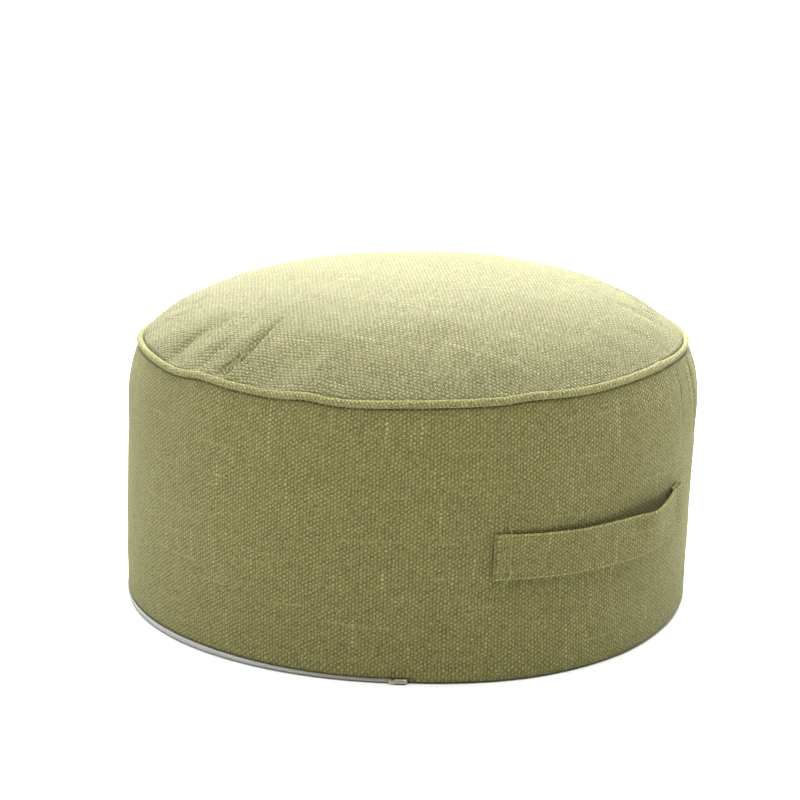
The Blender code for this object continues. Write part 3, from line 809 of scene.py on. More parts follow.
def strap_slope(azimuth):
    """How steeply the strap climbs here, for each metre along the band."""
    at = min(max(azimuth, STRAP_ROUTE[0].azimuth + 1), STRAP_ROUTE[-1].azimuth - 1)
    climb = along(STRAP_ROUTE, at + 1, "centre_height") - along(STRAP_ROUTE, at - 1, "centre_height")
    return climb / (2 * math.radians(1) * BAND_RADIUS)


def strap_height(azimuth):
    inside = min(max(azimuth, STRAP_ROUTE[0].azimuth), STRAP_ROUTE[-1].azimuth)
    past = math.radians(azimuth - inside) * BAND_RADIUS
    return along(STRAP_ROUTE, inside, "centre_height") + past * strap_slope(inside)


def strap_spot(azimuth, across, gap):
    """A point of the strap: across runs from 0 at its low edge to 1 at its high one."""
    tilt = math.atan(strap_slope(azimuth))
    aside = (across - 0.5) * STRAP_WIDTH
    turned = math.radians(azimuth) - aside * math.sin(tilt) / BAND_RADIUS
    height = strap_height(azimuth) + aside * math.cos(tilt)
    return around_axis(turned, radius_of(cover_surface, turned, height) + gap, height)


left_height, right_height = (strap_height(STRAP_ROUTE[end].azimuth) for end in (0, -1))
print("the handle climbs from", left_height, "to", right_height)

# %% [markdown]
# ## Its turned-under ends and its waves
# At each end the cloth runs past the end of the route in a tight half turn and comes back under itself. The
# strip between waves a little, as loose cloth does, and each line of stitches pulls a dip in it.

# %% The handle's ends and its unevenness
STRAP_THICKNESS = 0.0019
TURNED_UNDER = 0.010
STRAP_ROWS = 150
FOLD_ROWS = 8
HEM_ROWS = 4
STITCH_AZIMUTHS = (18.3, 61.3)  # where the ends are sewn down
LOOSE_FROM_LEFT, LOOSE_FROM_RIGHT = (17, 24), (63, 58)
WAVE_DEPTH, WAVES_PER_METRE = 0.00035, 55
HELD_WAVE = 0.4  # what is left of the waves where the ends are held
RUFFLE_DEPTH, RUFFLES_PER_METRE = 0.00030, 160
DIP_DEPTH, DIP_REACH = 0.00055, 0.0013


def strap_stations():
    """(azimuth, low gap, high gap) from one turned-under end to the other."""
    first, last = STRAP_ROUTE[0], STRAP_ROUTE[-1]
    under = CLOTH_GAP + STRAP_THICKNESS / 2
    fold = (first.low_gap - under) / 2

    def turned_end(end, inward):
        hem = math.degrees(TURNED_UNDER / BAND_RADIUS)
        found = [(end + inward * hem * (1 - i / HEM_ROWS), under, under) for i in range(HEM_ROWS)]
        for i in range(FOLD_ROWS):
            turn = math.pi * i / FOLD_ROWS
            gap = under + fold * (1 - math.cos(turn))
            found.append((end - inward * math.degrees(fold * math.sin(turn) / BAND_RADIUS), gap, gap))
        return found

    stations = turned_end(first.azimuth, 1)
    for i in range(STRAP_ROWS + 1):
        at = first.azimuth + (last.azimuth - first.azimuth) * i / STRAP_ROWS
        stations.append((at, along(STRAP_ROUTE, at, "low_gap"), along(STRAP_ROUTE, at, "high_gap")))
    return stations + turned_end(last.azimuth, -1)[::-1]


def strap_unevenness(azimuth, across):
    """Soft waves of the loose cloth, and the dip that each line of stitches pulls in it."""
    along_band = math.radians(azimuth) * BAND_RADIUS
    loose = smoothstep(*LOOSE_FROM_LEFT, azimuth) * smoothstep(*LOOSE_FROM_RIGHT, azimuth)
    wave = noise.noise(Vector((along_band * WAVES_PER_METRE, across * 1.5, 2.0)))
    ruffle = noise.noise(Vector((along_band * RUFFLES_PER_METRE, across * 6, 5.0)))
    dips = 0.0
    for stitched in STITCH_AZIMUTHS:
        away = math.radians(azimuth - stitched) * BAND_RADIUS
        dips += math.exp(-((away / DIP_REACH) ** 2))
    return WAVE_DEPTH * wave * (HELD_WAVE + loose) + RUFFLE_DEPTH * ruffle - DIP_DEPTH * dips


stations = strap_stations()
print(len(stations), "stations along the handle's cloth")

# %% [markdown]
# ## Making the strap
# A grid laid along the stations gives the cloth's middle. Solidify gives its two layers, and a small bevel
# rounds the folded edges. The grid's flat coordinates are measured along the cloth, in metres, and its
# length is what the strip was cut to.

# %% Make the handle
STRAP_COLUMNS = 16
EDGE_ROUNDING = 0.00075
EDGE_SHARPER_THAN = math.radians(60)


def make_handle():
    last = len(stations) - 1
    bm = bmesh.new()
    bmesh.ops.create_grid(bm, x_segments=last, y_segments=STRAP_COLUMNS, size=1.0)
    cloth = bm.loops.layers.uv.new(UV_NAME)
    spots = {}
    for vertex in bm.verts:
        row = round((vertex.co.x + 1) / 2 * last)
        column = round((vertex.co.y + 1) / 2 * STRAP_COLUMNS)
        spots[vertex] = (row, column)
    hems = {row for row in range(HEM_ROWS)} | {last - row for row in range(HEM_ROWS)}
    for vertex, (row, column) in spots.items():
        azimuth, low_gap, high_gap = stations[row]
        across = column / STRAP_COLUMNS
        gap = low_gap + (high_gap - low_gap) * across
        if row not in hems:
            gap += strap_unevenness(azimuth, across)
        vertex.co = strap_spot(azimuth, across, gap)
    half_way = STRAP_COLUMNS // 2
    middle = {row: vertex.co.copy() for vertex, (row, column) in spots.items() if column == half_way}
    length = cloth_length([middle[row] for row in range(last + 1)])
    for face in bm.faces:
        for loop in face.loops:
            row, column = spots[loop.vert]
            loop[cloth].uv = (length[row], column / STRAP_COLUMNS * STRAP_WIDTH)
    strap = finished(bm, "carrying_handle", ["handle_strap"])
    layers = strap.modifiers.new("two layers", "SOLIDIFY")
    layers.thickness = STRAP_THICKNESS
    layers.offset = 0.0
    layers.use_even_offset = True
    folds = strap.modifiers.new("folded edges", "BEVEL")
    folds.width = EDGE_ROUNDING
    folds.segments = 3
    folds.limit_method = "ANGLE"
    folds.angle_limit = EDGE_SHARPER_THAN
    return strap, length[-1]


handle, handle_length = make_handle()
print("handle", round(handle_length, 4), "m long with its ends")

# %% [markdown]
# ## Stitches
# The handle's ends are sewn down with a light green thread. Each stitch is a small bead that lies in the dip
# it pulls in the cloth. They run up each end in a line that isn't quite straight, as sewing isn't.

# %% Sew the handle's ends
STITCH_LENGTH = 0.0026
STITCH_THICKNESS = 0.0005
STITCHES = 9
STITCH_LIFT = 0.00008
STITCH_SWAY = 0.05  # degrees to either side of the line
HEADING_STEP, STRAP_TOP = 0.03, 0.999  # shares of the strap's width


def stitch_bead(bm, middle, heading, facing):
    """A bead between two needle holes."""
    side = heading.cross(facing).normalized()
    turn = Matrix((heading, side, facing)).transposed().to_4x4()
    stretch = Matrix.Diagonal((STITCH_LENGTH / 2, STITCH_THICKNESS / 2, STITCH_THICKNESS / 2, 1.0))
    place = Matrix.Translation(middle) @ turn @ stretch
    bmesh.ops.create_uvsphere(bm, u_segments=8, v_segments=6, radius=1.0, matrix=place)


def strap_face(azimuth, across, lift):
    """A point on the strap's outer face, with the strap's own dips."""
    gap = along(STRAP_ROUTE, azimuth, "low_gap") * (1 - across)
    gap += along(STRAP_ROUTE, azimuth, "high_gap") * across
    gap += strap_unevenness(azimuth, across) + STRAP_THICKNESS / 2
    return strap_spot(azimuth, across, gap + lift)


def sew_handle():
    bm = bmesh.new()
    for azimuth in STITCH_AZIMUTHS:
        for i in range(STITCHES):
            across = (i + 0.5) / STITCHES
            sway = STITCH_SWAY * math.sin(i * 2.1 + azimuth)
            middle = strap_face(azimuth + sway, across, STITCH_LIFT)
            above = strap_face(azimuth, min(across + HEADING_STEP, STRAP_TOP), 0.0)
            heading = (above - strap_face(azimuth, across, 0.0)).normalized()
            facing = outward(math.radians(azimuth))
            facing = (facing - heading * facing.dot(heading)).normalized()
            stitch_bead(bm, middle, heading, facing)
    return finished(bm, "handle_stitches", [])


stitches = sew_handle()

# %% [markdown]
# ## Thread ends
# The ends of the sewing were left uncut, so short threads stand above and below it, one at the handle's
# right end and one under the piping. Each is a thin tube: a circle swept along a curve of a few points, and
# then made a mesh, as every piece is.

# %% Leave the thread ends
Thread = namedtuple("Thread", "name thickness points")


def make_thread(thread):
    curve = bpy.data.curves.new(thread.name, "CURVE")
    curve.dimensions = "3D"
    curve.bevel_depth = thread.thickness / 2
    curve.bevel_resolution = 2
    curve.use_fill_caps = True
    line = curve.splines.new("NURBS")
    line.points.add(len(thread.points) - 1)
    for knot, (azimuth, height, off) in zip(line.points, thread.points):
        turned = math.radians(azimuth)
        radius = radius_of(cover_surface, turned, height) + off
        knot.co = (*around_axis(turned, radius, height), 1.0)
    line.use_endpoint_u = True
    line.order_u = 3
    swept = bpy.data.objects.new(thread.name, curve)
    bpy.context.scene.collection.objects.link(swept)
    mesh = bpy.data.meshes.new_from_object(swept.evaluated_get(bpy.context.evaluated_depsgraph_get()))
    bpy.data.objects.remove(swept)
    bm = bmesh.new()
    bm.from_mesh(mesh)
    return finished(bm, thread.name, [])


THREADS = (  # each point: azimuth in degrees, height, and distance off the band
    Thread(
        "thread_end_left",
        0.0005,
        ((16.6, 0.0965, 0.0040), (16.6, 0.0990, 0.0030), (16.5, 0.1015, 0.0010), (16.6, 0.1046, 0.0006)),
    ),
    Thread(
        "thread_end_right",
        0.0006,
        ((18.3, 0.0950, 0.0044), (18.4, 0.0990, 0.0036), (18.2, 0.1016, 0.0012), (18.1, 0.1052, 0.0006)),
    ),
    Thread(
        "thread_tuft_long",
        0.0008,
        ((18.5, 0.0745, 0.0042), (18.3, 0.0710, 0.0046), (17.9, 0.0675, 0.0040), (17.2, 0.0648, 0.0018)),
    ),
    Thread(
        "thread_tuft_short",
        0.0006,
        ((18.1, 0.0750, 0.0042), (18.2, 0.0728, 0.0050), (18.0, 0.0700, 0.0049), (17.6, 0.0680, 0.0036)),
    ),
    Thread(
        "thread_under_piping",
        0.0004,
        ((31.8, 0.1830, 0.0020), (31.5, 0.1812, 0.0024), (31.0, 0.1792, 0.0012), (30.4, 0.1782, 0.0006)),
    ),
    Thread(
        "thread_at_right_end",
        0.0005,
        ((63.4, 0.1015, 0.0038), (63.2, 0.1040, 0.0040), (62.6, 0.1056, 0.0030), (62.0, 0.1062, 0.0016)),
    ),
)
thread_pieces = [make_thread(thread) for thread in THREADS]

# %% [markdown]
# ## The zip
# The zip lies in the base seam, so only the lower edge of the band shows it: a strip of light tape with a
# coil of fine teeth along it, and the slider at the front. The tape is a thin band, laid out as a grid, with
# woven edges that stand a little higher than its middle. Solidify gives it its thickness.

# %% Make the tape
ZIP_START = math.radians(-2.4)
ZIP_END = math.radians(-171)
TAPE_LOW, TAPE_HIGH = 0.0005, 0.0044
TAPE_THICKNESS = 0.0011
TAPE_ROWS = 420
TAPE_COLUMNS = 8
LOWEST_LOOK = 0.0012  # the band is measured no lower, where it turns in under the cushion
TAPE_WAVE, TAPE_RIB = 0.00018, 0.00014
TAPE_PRESSED = 0.0002  # its cloth is this much thinner than the room it has


def tape_spot(azimuth, height, off):
    band = radius_of(cover_surface, azimuth, max(height, LOWEST_LOOK))
    return around_axis(azimuth, band + CLOTH_GAP + off, height)


def tape_top(azimuth):
    """The tape shows up to the hem, which hangs lower near the slider."""
    return TAPE_HIGH - hem_lowered(azimuth)


def make_tape():
    bm = bmesh.new()
    bmesh.ops.create_grid(bm, x_segments=TAPE_ROWS, y_segments=TAPE_COLUMNS, size=1.0)
    cloth = bm.loops.layers.uv.new(UV_NAME)
    for face in bm.faces:
        for loop in face.loops:
            x, y = loop.vert.co.x, loop.vert.co.y
            length = (x + 1) / 2 * (ZIP_START - ZIP_END) * BAND_RADIUS
            loop[cloth].uv = (length, (y + 1) / 2 * (TAPE_HIGH - TAPE_LOW))
    for vertex in bm.verts:
        share, across = (vertex.co.x + 1) / 2, (vertex.co.y + 1) / 2
        azimuth = ZIP_START + (ZIP_END - ZIP_START) * share
        wave = TAPE_WAVE * noise.noise(Vector((azimuth * 30, 0.4, 6.0)))
        height = TAPE_LOW + (tape_top(azimuth) - TAPE_LOW) * across + wave * across
        rib = TAPE_RIB * (math.cos(across * math.tau) + 1) / 2
        vertex.co = tape_spot(azimuth, height, TAPE_THICKNESS / 2 + rib)
    tape = finished(bm, "zip_tape_cloth", ["zip_tape"])
    layer = tape.modifiers.new("tape", "SOLIDIFY")
    layer.thickness = TAPE_THICKNESS - TAPE_PRESSED
    layer.offset = 0.0
    return tape


tape = make_tape()

# %% [markdown]
# ## The coil of teeth
# A nylon zip has a coil of wire along its tape, whose turns are its teeth. They are about a millimetre and a
# half apart, so each turn is a small leaning bead of a few faces.

# %% Make the coil
TOOTH_PITCH = 0.0015
TOOTH_LEAN = math.radians(12)
TOOTH_HALF_SIZE = (TOOTH_PITCH * 0.34, 0.00034, 0.0009)
TOOTH_SUNK = 0.0001


def make_coil():
    bm = bmesh.new()
    turns = int((ZIP_START - ZIP_END) * BAND_RADIUS / TOOTH_PITCH)
    for i in range(turns):
        azimuth = ZIP_START - (i + 0.5) * TOOTH_PITCH / BAND_RADIUS
        spot = tape_spot(azimuth, (TAPE_LOW + tape_top(azimuth)) / 2, TAPE_THICKNESS - TOOTH_SUNK)
        turn = Matrix.Rotation(azimuth, 4, "Z") @ Matrix.Rotation(TOOTH_LEAN, 4, "Y")
        stretch = Matrix.Diagonal((*TOOTH_HALF_SIZE, 1.0))
        bmesh.ops.create_uvsphere(
            bm, u_segments=6, v_segments=4, radius=1.0, matrix=Matrix.Translation(spot) @ turn @ stretch
        )
    return finished(bm, "zip_coil", [])


coil = make_coil()

# %% [markdown]
# ## The slider
# A slider is a small cast body with a bridge on its face, and a pull that hangs from the bridge. Here the
# pull lies along the tape, to the left. All of it is small bevelled blocks that lie in each other, as the
# parts of a casting do: at this size, the roundings of the edges are what catches the light.

# %% Make the slider
SLIDER_AZIMUTH = math.radians(-0.9)
SLIDER_OFF = 0.0001
CREASED_FROM = math.radians(35)  # edges sharper than this are shaded as edges
Block = namedtuple("Block", "size centre rounding")
SLIDER_BLOCKS = (  # along X with its face towards -Y
    Block((0.0088, 0.0020, 0.0029), (0, -0.0011, 0), 0.0006),  # the body
    Block((0.0020, 0.0006, 0.0025), (0.0030, -0.0023, 0), 0.0002),  # its raised nose
    Block((0.0048, 0.0007, 0.0013), (-0.0002, -0.0031, 0), 0.0003),  # the bridge
    Block((0.0008, 0.0012, 0.0013), (0.0020, -0.0026, 0), 0.00025),  # its right foot
    Block((0.0008, 0.0012, 0.0013), (-0.0024, -0.0026, 0), 0.00025),  # its left foot
    Block((0.0056, 0.0007, 0.0021), (-0.0040, -0.0027, 0), 0.0003),  # the pull
    Block((0.0018, 0.0009, 0.0025), (-0.0066, -0.0027, 0), 0.0004),  # its thicker end
)


def add_block(bm, block):
    made = bmesh.ops.create_cube(bm, size=1.0)["verts"]
    bmesh.ops.scale(bm, vec=block.size, verts=made)
    bmesh.ops.translate(bm, vec=block.centre, verts=made)
    edges = {edge for vertex in made for edge in vertex.link_edges}
    bmesh.ops.bevel(
        bm, geom=list(edges), offset=block.rounding, segments=3, affect="EDGES", profile=0.5, material=-1
    )


def make_slider():
    """Built in its own place, then turned onto the band."""
    bm = bmesh.new()
    for block in SLIDER_BLOCKS:
        add_block(bm, block)
    seat = tape_spot(SLIDER_AZIMUTH, (TAPE_LOW + tape_top(SLIDER_AZIMUTH)) / 2, SLIDER_OFF)
    turn = Matrix.Translation(seat) @ Matrix.Rotation(SLIDER_AZIMUTH, 4, "Z")
    bmesh.ops.transform(bm, matrix=turn, verts=bm.verts[:])
    return finished(bm, "zip_slider_body", ["zip_slider"])


slider = make_slider()
slider.data.set_sharp_from_angle(angle=CREASED_FROM)

# %% [markdown]
# ## Shader maths as expressions
# Cloth patterns are sums and products of many small numbers. A wire wraps a node's output, and its operators
# add the Math nodes, so a weave can be written as a formula.

# %% A wire
class Wire:
    """The output of a node. Arithmetic on it adds Math nodes."""

    def __init__(self, finish, socket):
        self.finish, self.socket = finish, socket

    def maths(self, operation, *values):
        return self.finish.add("ShaderNodeMath", {"operation": operation}, dict(enumerate(values)))

    def __add__(self, other):
        return self.maths("ADD", self, other)

    def __sub__(self, other):
        return self.maths("SUBTRACT", self, other)

    def __mul__(self, other):
        return self.maths("MULTIPLY", self, other)

    def __truediv__(self, other):
        return self.maths("DIVIDE", self, other)

    def __radd__(self, other):
        return self.maths("ADD", other, self)

    def __rsub__(self, other):
        return self.maths("SUBTRACT", other, self)

    def __rmul__(self, other):
        return self.maths("MULTIPLY", other, self)

    def floor(self):
        return self.maths("FLOOR", self)

    def fraction(self):
        return self.maths("FRACT", self)

    def cosine(self):
        return self.maths("COSINE", self)

    def root(self):
        return self.maths("SQRT", self)

    def unsigned(self):
        return self.maths("ABSOLUTE", self)

    def most(self, other):
        return self.maths("MAXIMUM", self, other)

    def over(self, low, high):
        """0 up to low, 1 from high, and a smooth way between."""
        settings = {"interpolation_type": "SMOOTHSTEP"}
        return self.finish.add("ShaderNodeMapRange", settings, {0: self, 1: low, 2: high})


# %% [markdown]
# ## A finish
# A finish is a material being mixed. One method adds any node: its settings are set first, then each of its
# sockets takes a value or a link. The others are the few mixtures that this cushion's materials share. What
# changes over a surface reaches only its colour, its roughness and its bump.

# %% A finish
class Finish:
    """A material being mixed."""

    def __init__(self, name):
        self.material = bpy.data.materials.new(name)
        self.material.use_nodes = True
        self.tree = self.material.node_tree
        self.shader = self.tree.nodes["Principled BSDF"]

    def plug(self, socket, value):
        if isinstance(value, Wire):
            self.tree.links.new(value.socket, socket)
        else:
            socket.default_value = value

    def add(self, kind, settings=None, sockets=None, output=0):
        node = self.tree.nodes.new(kind)
        for name, value in (settings or {}).items():
            setattr(node, name, value)
        for key, value in (sockets or {}).items():
            self.plug(node.inputs[key], value)
        return Wire(self, node.outputs[output])

    def place(self):
        """Where a point lies on the piece, in metres."""
        return self.add("ShaderNodeTexCoord", output=3)

    def parts(self, vector, count):
        """The first numbers of a vector, each as a wire of its own."""
        split = self.add("ShaderNodeSeparateXYZ", sockets={0: vector}).socket.node
        return [Wire(self, split.outputs[i]) for i in range(count)]

    def flat_cloth(self):
        """The two coordinates of the cloth laid flat, in metres."""
        return self.parts(self.add("ShaderNodeUVMap", {"uv_map": UV_NAME}), 2)

    def vector(self, x, y=0.0, z=0.0):
        return self.add("ShaderNodeCombineXYZ", sockets={0: x, 1: y, 2: z})

    def cloud(self, place, scale, detail=2.0):
        """Smooth random values from 0 to 1."""
        return self.add("ShaderNodeTexNoise", sockets={"Vector": place, "Scale": scale, "Detail": detail})

    def speckle(self, x, y=0.0, z=0.0, detail=1.0):
        """A cloud that changes about once in each unit of x, y and z."""
        return self.cloud(self.vector(x, y, z), 1.0, detail)

    def chance(self, x, y):
        """A random value from 0 to 1 for each pair of whole numbers."""
        spot = self.vector(x + 0.5, y + 0.5)
        return self.add("ShaderNodeTexWhiteNoise", {"noise_dimensions": "2D"}, {"Vector": spot})

    def blend(self, share, first, second, way="MIX"):
        settings = {"data_type": "RGBA", "blend_type": way}
        return self.add("ShaderNodeMix", settings, {0: share, 6: first, 7: second}, output=2)

    def grey(self, value):
        return self.add("ShaderNodeCombineColor", sockets={0: value, 1: value, 2: value})

    def surface(self, colour, roughness, height=None, depth=0.001, **uniform):
        self.plug(self.shader.inputs["Base Color"], colour)
        self.plug(self.shader.inputs["Roughness"], roughness)
        if height is not None:
            sockets = {"Strength": 1.0, "Distance": depth, "Height": height}
            self.plug(self.shader.inputs["Normal"], self.add("ShaderNodeBump", sockets=sockets))
        for name, value in uniform.items():
            self.shader.inputs[name.replace("_", " ")].default_value = value
        return self.material


# %% [markdown]
# ## The weave
# A plain weave is two sets of yarns that pass over and under each other in turn. A cosine along each yarn
# lifts it over one and sinks it under the next. Linen yarns are uneven: they swell into slubs and wander. So
# each yarn gets its own thickness from a noise read along it, and both counts are bent by another. Odd
# factors such as 7.31 take neighbouring yarns to far parts of the noise, so that they differ.

# %% Weave the yarns
WARP_PITCH = 0.00223
WEFT_PITCH = 0.00145
WANDER = 1.4  # how far the yarns stray, in yarns
STRAYS_TO_THE_METRE = 170
Weave = namedtuple("Weave", "warp weft warp_yarn weft_yarn crossing weft_back weft_shows height")


def yarn_back(count, thickness):
    """The round back of a yarn: 1 along its middle, 0 at its edges."""
    aside = (count.fraction() * 2 - 1) / thickness
    return (1 - aside * aside).most(0.0).root()


def weave(finish, u, v, scale, stretch, twill):
    """The counts of the two sets of yarns, and how high the cloth stands at each point."""
    stray = finish.speckle(u * STRAYS_TO_THE_METRE, v * STRAYS_TO_THE_METRE, 3.0, detail=3.0)
    stray_across = finish.speckle(u * STRAYS_TO_THE_METRE, v * STRAYS_TO_THE_METRE, 11.0, detail=3.0)
    warp = u / (WARP_PITCH * scale * stretch) + (stray - 0.5) * WANDER
    weft = v / (WEFT_PITCH * scale) + (stray_across - 0.5) * WANDER
    warp_yarn, weft_yarn = warp.floor(), weft.floor()
    warp_slub = finish.speckle(warp_yarn * 7.31, weft * 0.30, 1.0, detail=2.0)
    weft_slub = finish.speckle(warp * 0.40, weft_yarn * 5.17, 2.0, detail=2.0)
    crossing = finish.chance(warp_yarn, weft_yarn)
    warp_back = yarn_back(warp, 0.58 + 0.5 * warp_slub)
    weft_back = yarn_back(weft, 0.62 + 0.5 * weft_slub)
    warp_rise = ((weft - 0.5 + warp_yarn) * math.pi).cosine()
    weft_rise = 0 - ((warp - 0.5 + weft_yarn) * math.pi).cosine()
    twist = ((warp - weft) * math.pi).cosine()
    warp_rise = (1 - twill) * warp_rise + twill * twist
    warp_top = warp_back * (0.30 + (0.26 + 0.34 * crossing) * warp_rise) + 0.45 * (warp_slub - 0.5)
    weft_top = weft_back * (0.12 + 0.16 * weft_rise) + 0.4 * (weft_slub - 0.5) + 0.1 * (crossing - 0.5)
    weft_shows = (weft_top - warp_top).over(-0.06, 0.06)
    return Weave(warp, weft, warp_yarn, weft_yarn, crossing, weft_back, weft_shows, warp_top.most(weft_top))


print("warp", round(1 / WARP_PITCH), "and weft", round(1 / WEFT_PITCH), "yarns to the metre")

# %% [markdown]
# ## The tones of the linen
# Linen takes the dye unevenly. Each yarn has its own tone, read along it, and a few are long pale slubs. The
# hollows between the yarns get painted shade, their backs a painted highlight, and fine slanting hairs lie
# over it all. On the top, where the cloth is stretched, painted shade in the gaps between the weft yarns
# shows as ribs.

# %% Dye the linen and paint its shade
LINEN = (0.170, 0.161, 0.056)
LINEN_TOP_PAINTED_LIGHT = (0.184, 0.178, 0.083)  # the top: a paler, greyer copy of the linen, painted light where strong light falls on it
# the piping: a paler copy of the linen, painted light where the cord's round top catches the light
LINEN_PIPING_PAINTED_LIGHT = (0.222, 0.213, 0.086)
UNDYED = (1.0, 1.0, 1.0, 1.0)
PALE_SLUB_AND_HIGHLIGHT_TINT = (1.22, 1.24, 1.40, 1.0)  # what the pale slubs turn towards, and the yarns' backs as a painted highlight
NAP_TINT = (0.92, 0.95, 0.80, 1.0)  # the fuzz is a paler green than the yarns
LINEN_ROUGHNESS = 0.95
PALE_SLUBS = (0.62, 0.74)  # the highest values of the noise make the long pale slubs
PATCHES_TO_THE_METRE = 28
HAIRS_ALONG, HAIRS_ACROSS = 420, 1050  # to the metre
HAIR_HEIGHT = 0.3
DARKEST = 0.12
FOLD_HIGHLIGHT_FROM, FOLD_HIGHLIGHT_TO = 0.0003, 0.0016  # how far the painted highlight along a fold's edge reaches
# how much lighter the painted highlight along the handle's folds makes the cloth
FOLD_PAINTED_HIGHLIGHT = 0.45


def between(share, first, second):
    return first + (second - first) * share


def linen_shade(finish, u, v, cloth, streaks, painted_rib_shade):
    """How light the dyed cloth is, its pale slubs, the painted shade of its hollows and ribs, and its hairs.
    """
    warp_tone = finish.speckle(cloth.warp_yarn * 3.7, cloth.weft * 0.10, 21.0, detail=2.0)
    weft_tone = finish.speckle(cloth.warp * 0.12, cloth.weft_yarn * 4.3, 27.0, detail=2.0)
    tone = between(cloth.weft_shows, warp_tone, weft_tone)
    warp_line = finish.speckle(cloth.warp_yarn * 9.1, cloth.weft * 0.03, 33.0, detail=1.0)
    weft_line = finish.speckle(cloth.warp * 0.03, cloth.weft_yarn * 8.3, 39.0, detail=1.0)
    pale = between(cloth.weft_shows, warp_line, weft_line).over(*PALE_SLUBS)
    patches = finish.speckle(u * PATCHES_TO_THE_METRE, v * PATCHES_TO_THE_METRE, 5.0, detail=2.0)
    hairs = finish.speckle((u + v) * HAIRS_ALONG, (v - u) * HAIRS_ACROSS, 8.0, detail=1.0)
    # painted shade: the cloth is darker where the weave is low, in the hollows between the yarns, than on
    # their backs
    out_of_painted_shade = cloth.height.over(-0.20, 0.80)
    shade = 0.47 + 1.13 * out_of_painted_shade + streaks * (tone - 0.5) + 0.25 * pale + 0.05 * (patches - 0.5)
    # painted shade along the gaps between the weft yarns, used on the top
    shade = shade + 1.35 * (hairs - 0.5) + 0.10 * (cloth.crossing - 0.5) - painted_rib_shade * (0.75 - cloth.weft_back)
    return shade.most(DARKEST), pale, out_of_painted_shade, hairs


print("yarns are", LINEN, "and on the top", LINEN_TOP_PAINTED_LIGHT)

# %% [markdown]
# ## Cutting the panels
# Every panel is the same linen, cut at its own angle: the band along the weave, the top turned as the photo
# shows it, the piping across it. The top and the piping get paler copies of the linen as painted light, and
# the top's cloth is stretched, so its weave stands out more. The handle's long folds get a painted
# highlight.
# The nap is the fuzz of the yarns, which sheen shows at grazing angles.

# %% Cut the linen for each panel
def linen(
    name,
    dye_and_painted_light=LINEN,
    turn=0.0,
    scale=1.0,
    stretch=1.0,
    bump=0.0010,
    nap=0.18,
    streaks=0.32,
    gloss=0.08,
    twill=0.35,
    painted_rib_shade=0.0,
    folds=(),
):
    finish = Finish(name)
    flat_u, flat_v = finish.flat_cloth()
    cosine, sine = math.cos(turn), math.sin(turn)
    u = flat_u * cosine + flat_v * sine
    v = flat_v * cosine - flat_u * sine
    cloth = weave(finish, u, v, scale, stretch, twill)
    shade, pale, out_of_painted_shade, hairs = linen_shade(finish, u, v, cloth, streaks, painted_rib_shade)
    # a painted highlight along each of the handle's folds
    for fold in folds:
        away = (flat_v - fold).unsigned()
        shade = shade * (1 + FOLD_PAINTED_HIGHLIGHT * (1 - away.over(FOLD_HIGHLIGHT_FROM, FOLD_HIGHLIGHT_TO)))
    # the pale slubs are the yarns' own; the yarns' backs are painted paler, as a painted highlight
    slub_and_highlight_tint = finish.blend(pale * 0.6 + 0.4 * (out_of_painted_shade - 0.5).most(0.0), UNDYED, PALE_SLUB_AND_HIGHLIGHT_TINT)
    # the dye, and for the top and the piping painted light as well
    dyed_and_lit = finish.blend(1.0, (*dye_and_painted_light, 1.0), slub_and_highlight_tint, "MULTIPLY")
    return finish.surface(
        finish.blend(1.0, dyed_and_lit, finish.grey(shade), "MULTIPLY"),
        LINEN_ROUGHNESS,
        cloth.height + hairs * HAIR_HEIGHT,
        bump,
        Sheen_Weight=nap,
        Sheen_Roughness=0.5,
        Sheen_Tint=NAP_TINT,
        Specular_IOR_Level=gloss,
    )


band_linen = linen("olive linen, band")
# the top: a paler copy of the linen as painted light, and painted shade in the gaps between its weft yarns
top_linen = linen(
    "olive linen, top", dye_and_painted_light=LINEN_TOP_PAINTED_LIGHT, turn=math.radians(66.4), stretch=1.2, bump=0.0014, nap=0.10,
    streaks=0.34, gloss=0.14, twill=0.12, painted_rib_shade=0.45,
)
base_linen = linen("olive linen, base", turn=math.radians(12))
# the piping gets the paler copy of the linen, as painted light
piping_linen = linen("olive linen, cut across", dye_and_painted_light=LINEN_PIPING_PAINTED_LIGHT, turn=math.radians(45), scale=0.9, nap=0.15)
handle_linen = linen("olive linen, handle", scale=0.97, folds=(0.0, STRAP_WIDTH))
for material in (base_linen, band_linen, top_linen):
    cover.data.materials.append(material)
piping.data.materials.append(piping_linen)
handle.data.materials.append(handle_linen)
print("the top's linen has", len(top_linen.node_tree.nodes), "nodes")

# %% [markdown]
# ## Thread and tape
# The thread is a paler green twist of two plies, which a slanting wave over its surface gives. The zip's
# tape is a light grey twill. Painted shade darkens its two edges, under the hem and by the floor, and the
# tape grows darker towards the slider.

# %% Thread and tape
THREAD_SHADES = ((0.22, 0.24, 0.060, 1.0), (0.32, 0.34, 0.10, 1.0))
THREAD_TONES_TO_THE_METRE = 900
TAPE_SHADES = ((0.40, 0.40, 0.38, 1.0), (0.54, 0.54, 0.52, 1.0))
# the tape is darker towards the slider
TAPE_DARKER_NEAR_SLIDER = (0.24, 0.21, 0.15, 1.0)
TAPE_DARKER_LENGTH = 0.12
# painted shade at the tape's two edges, under the hem and by the floor
TAPE_EDGE_PAINTED_SHADE = (0.20, 0.19, 0.14, 1.0)
TAPE_TWILL = 0.0005


def thread_finish():
    finish = Finish("pale green thread")
    x, y, z = finish.parts(finish.place(), 3)
    ply = ((x + y) * 4200 + z * 5200).cosine()
    spots = [part * THREAD_TONES_TO_THE_METRE for part in (x, y, z)]
    colour = finish.blend(finish.speckle(*spots), *THREAD_SHADES)
    return finish.surface(colour, 0.8, ply, 0.00008, Sheen_Weight=0.05)


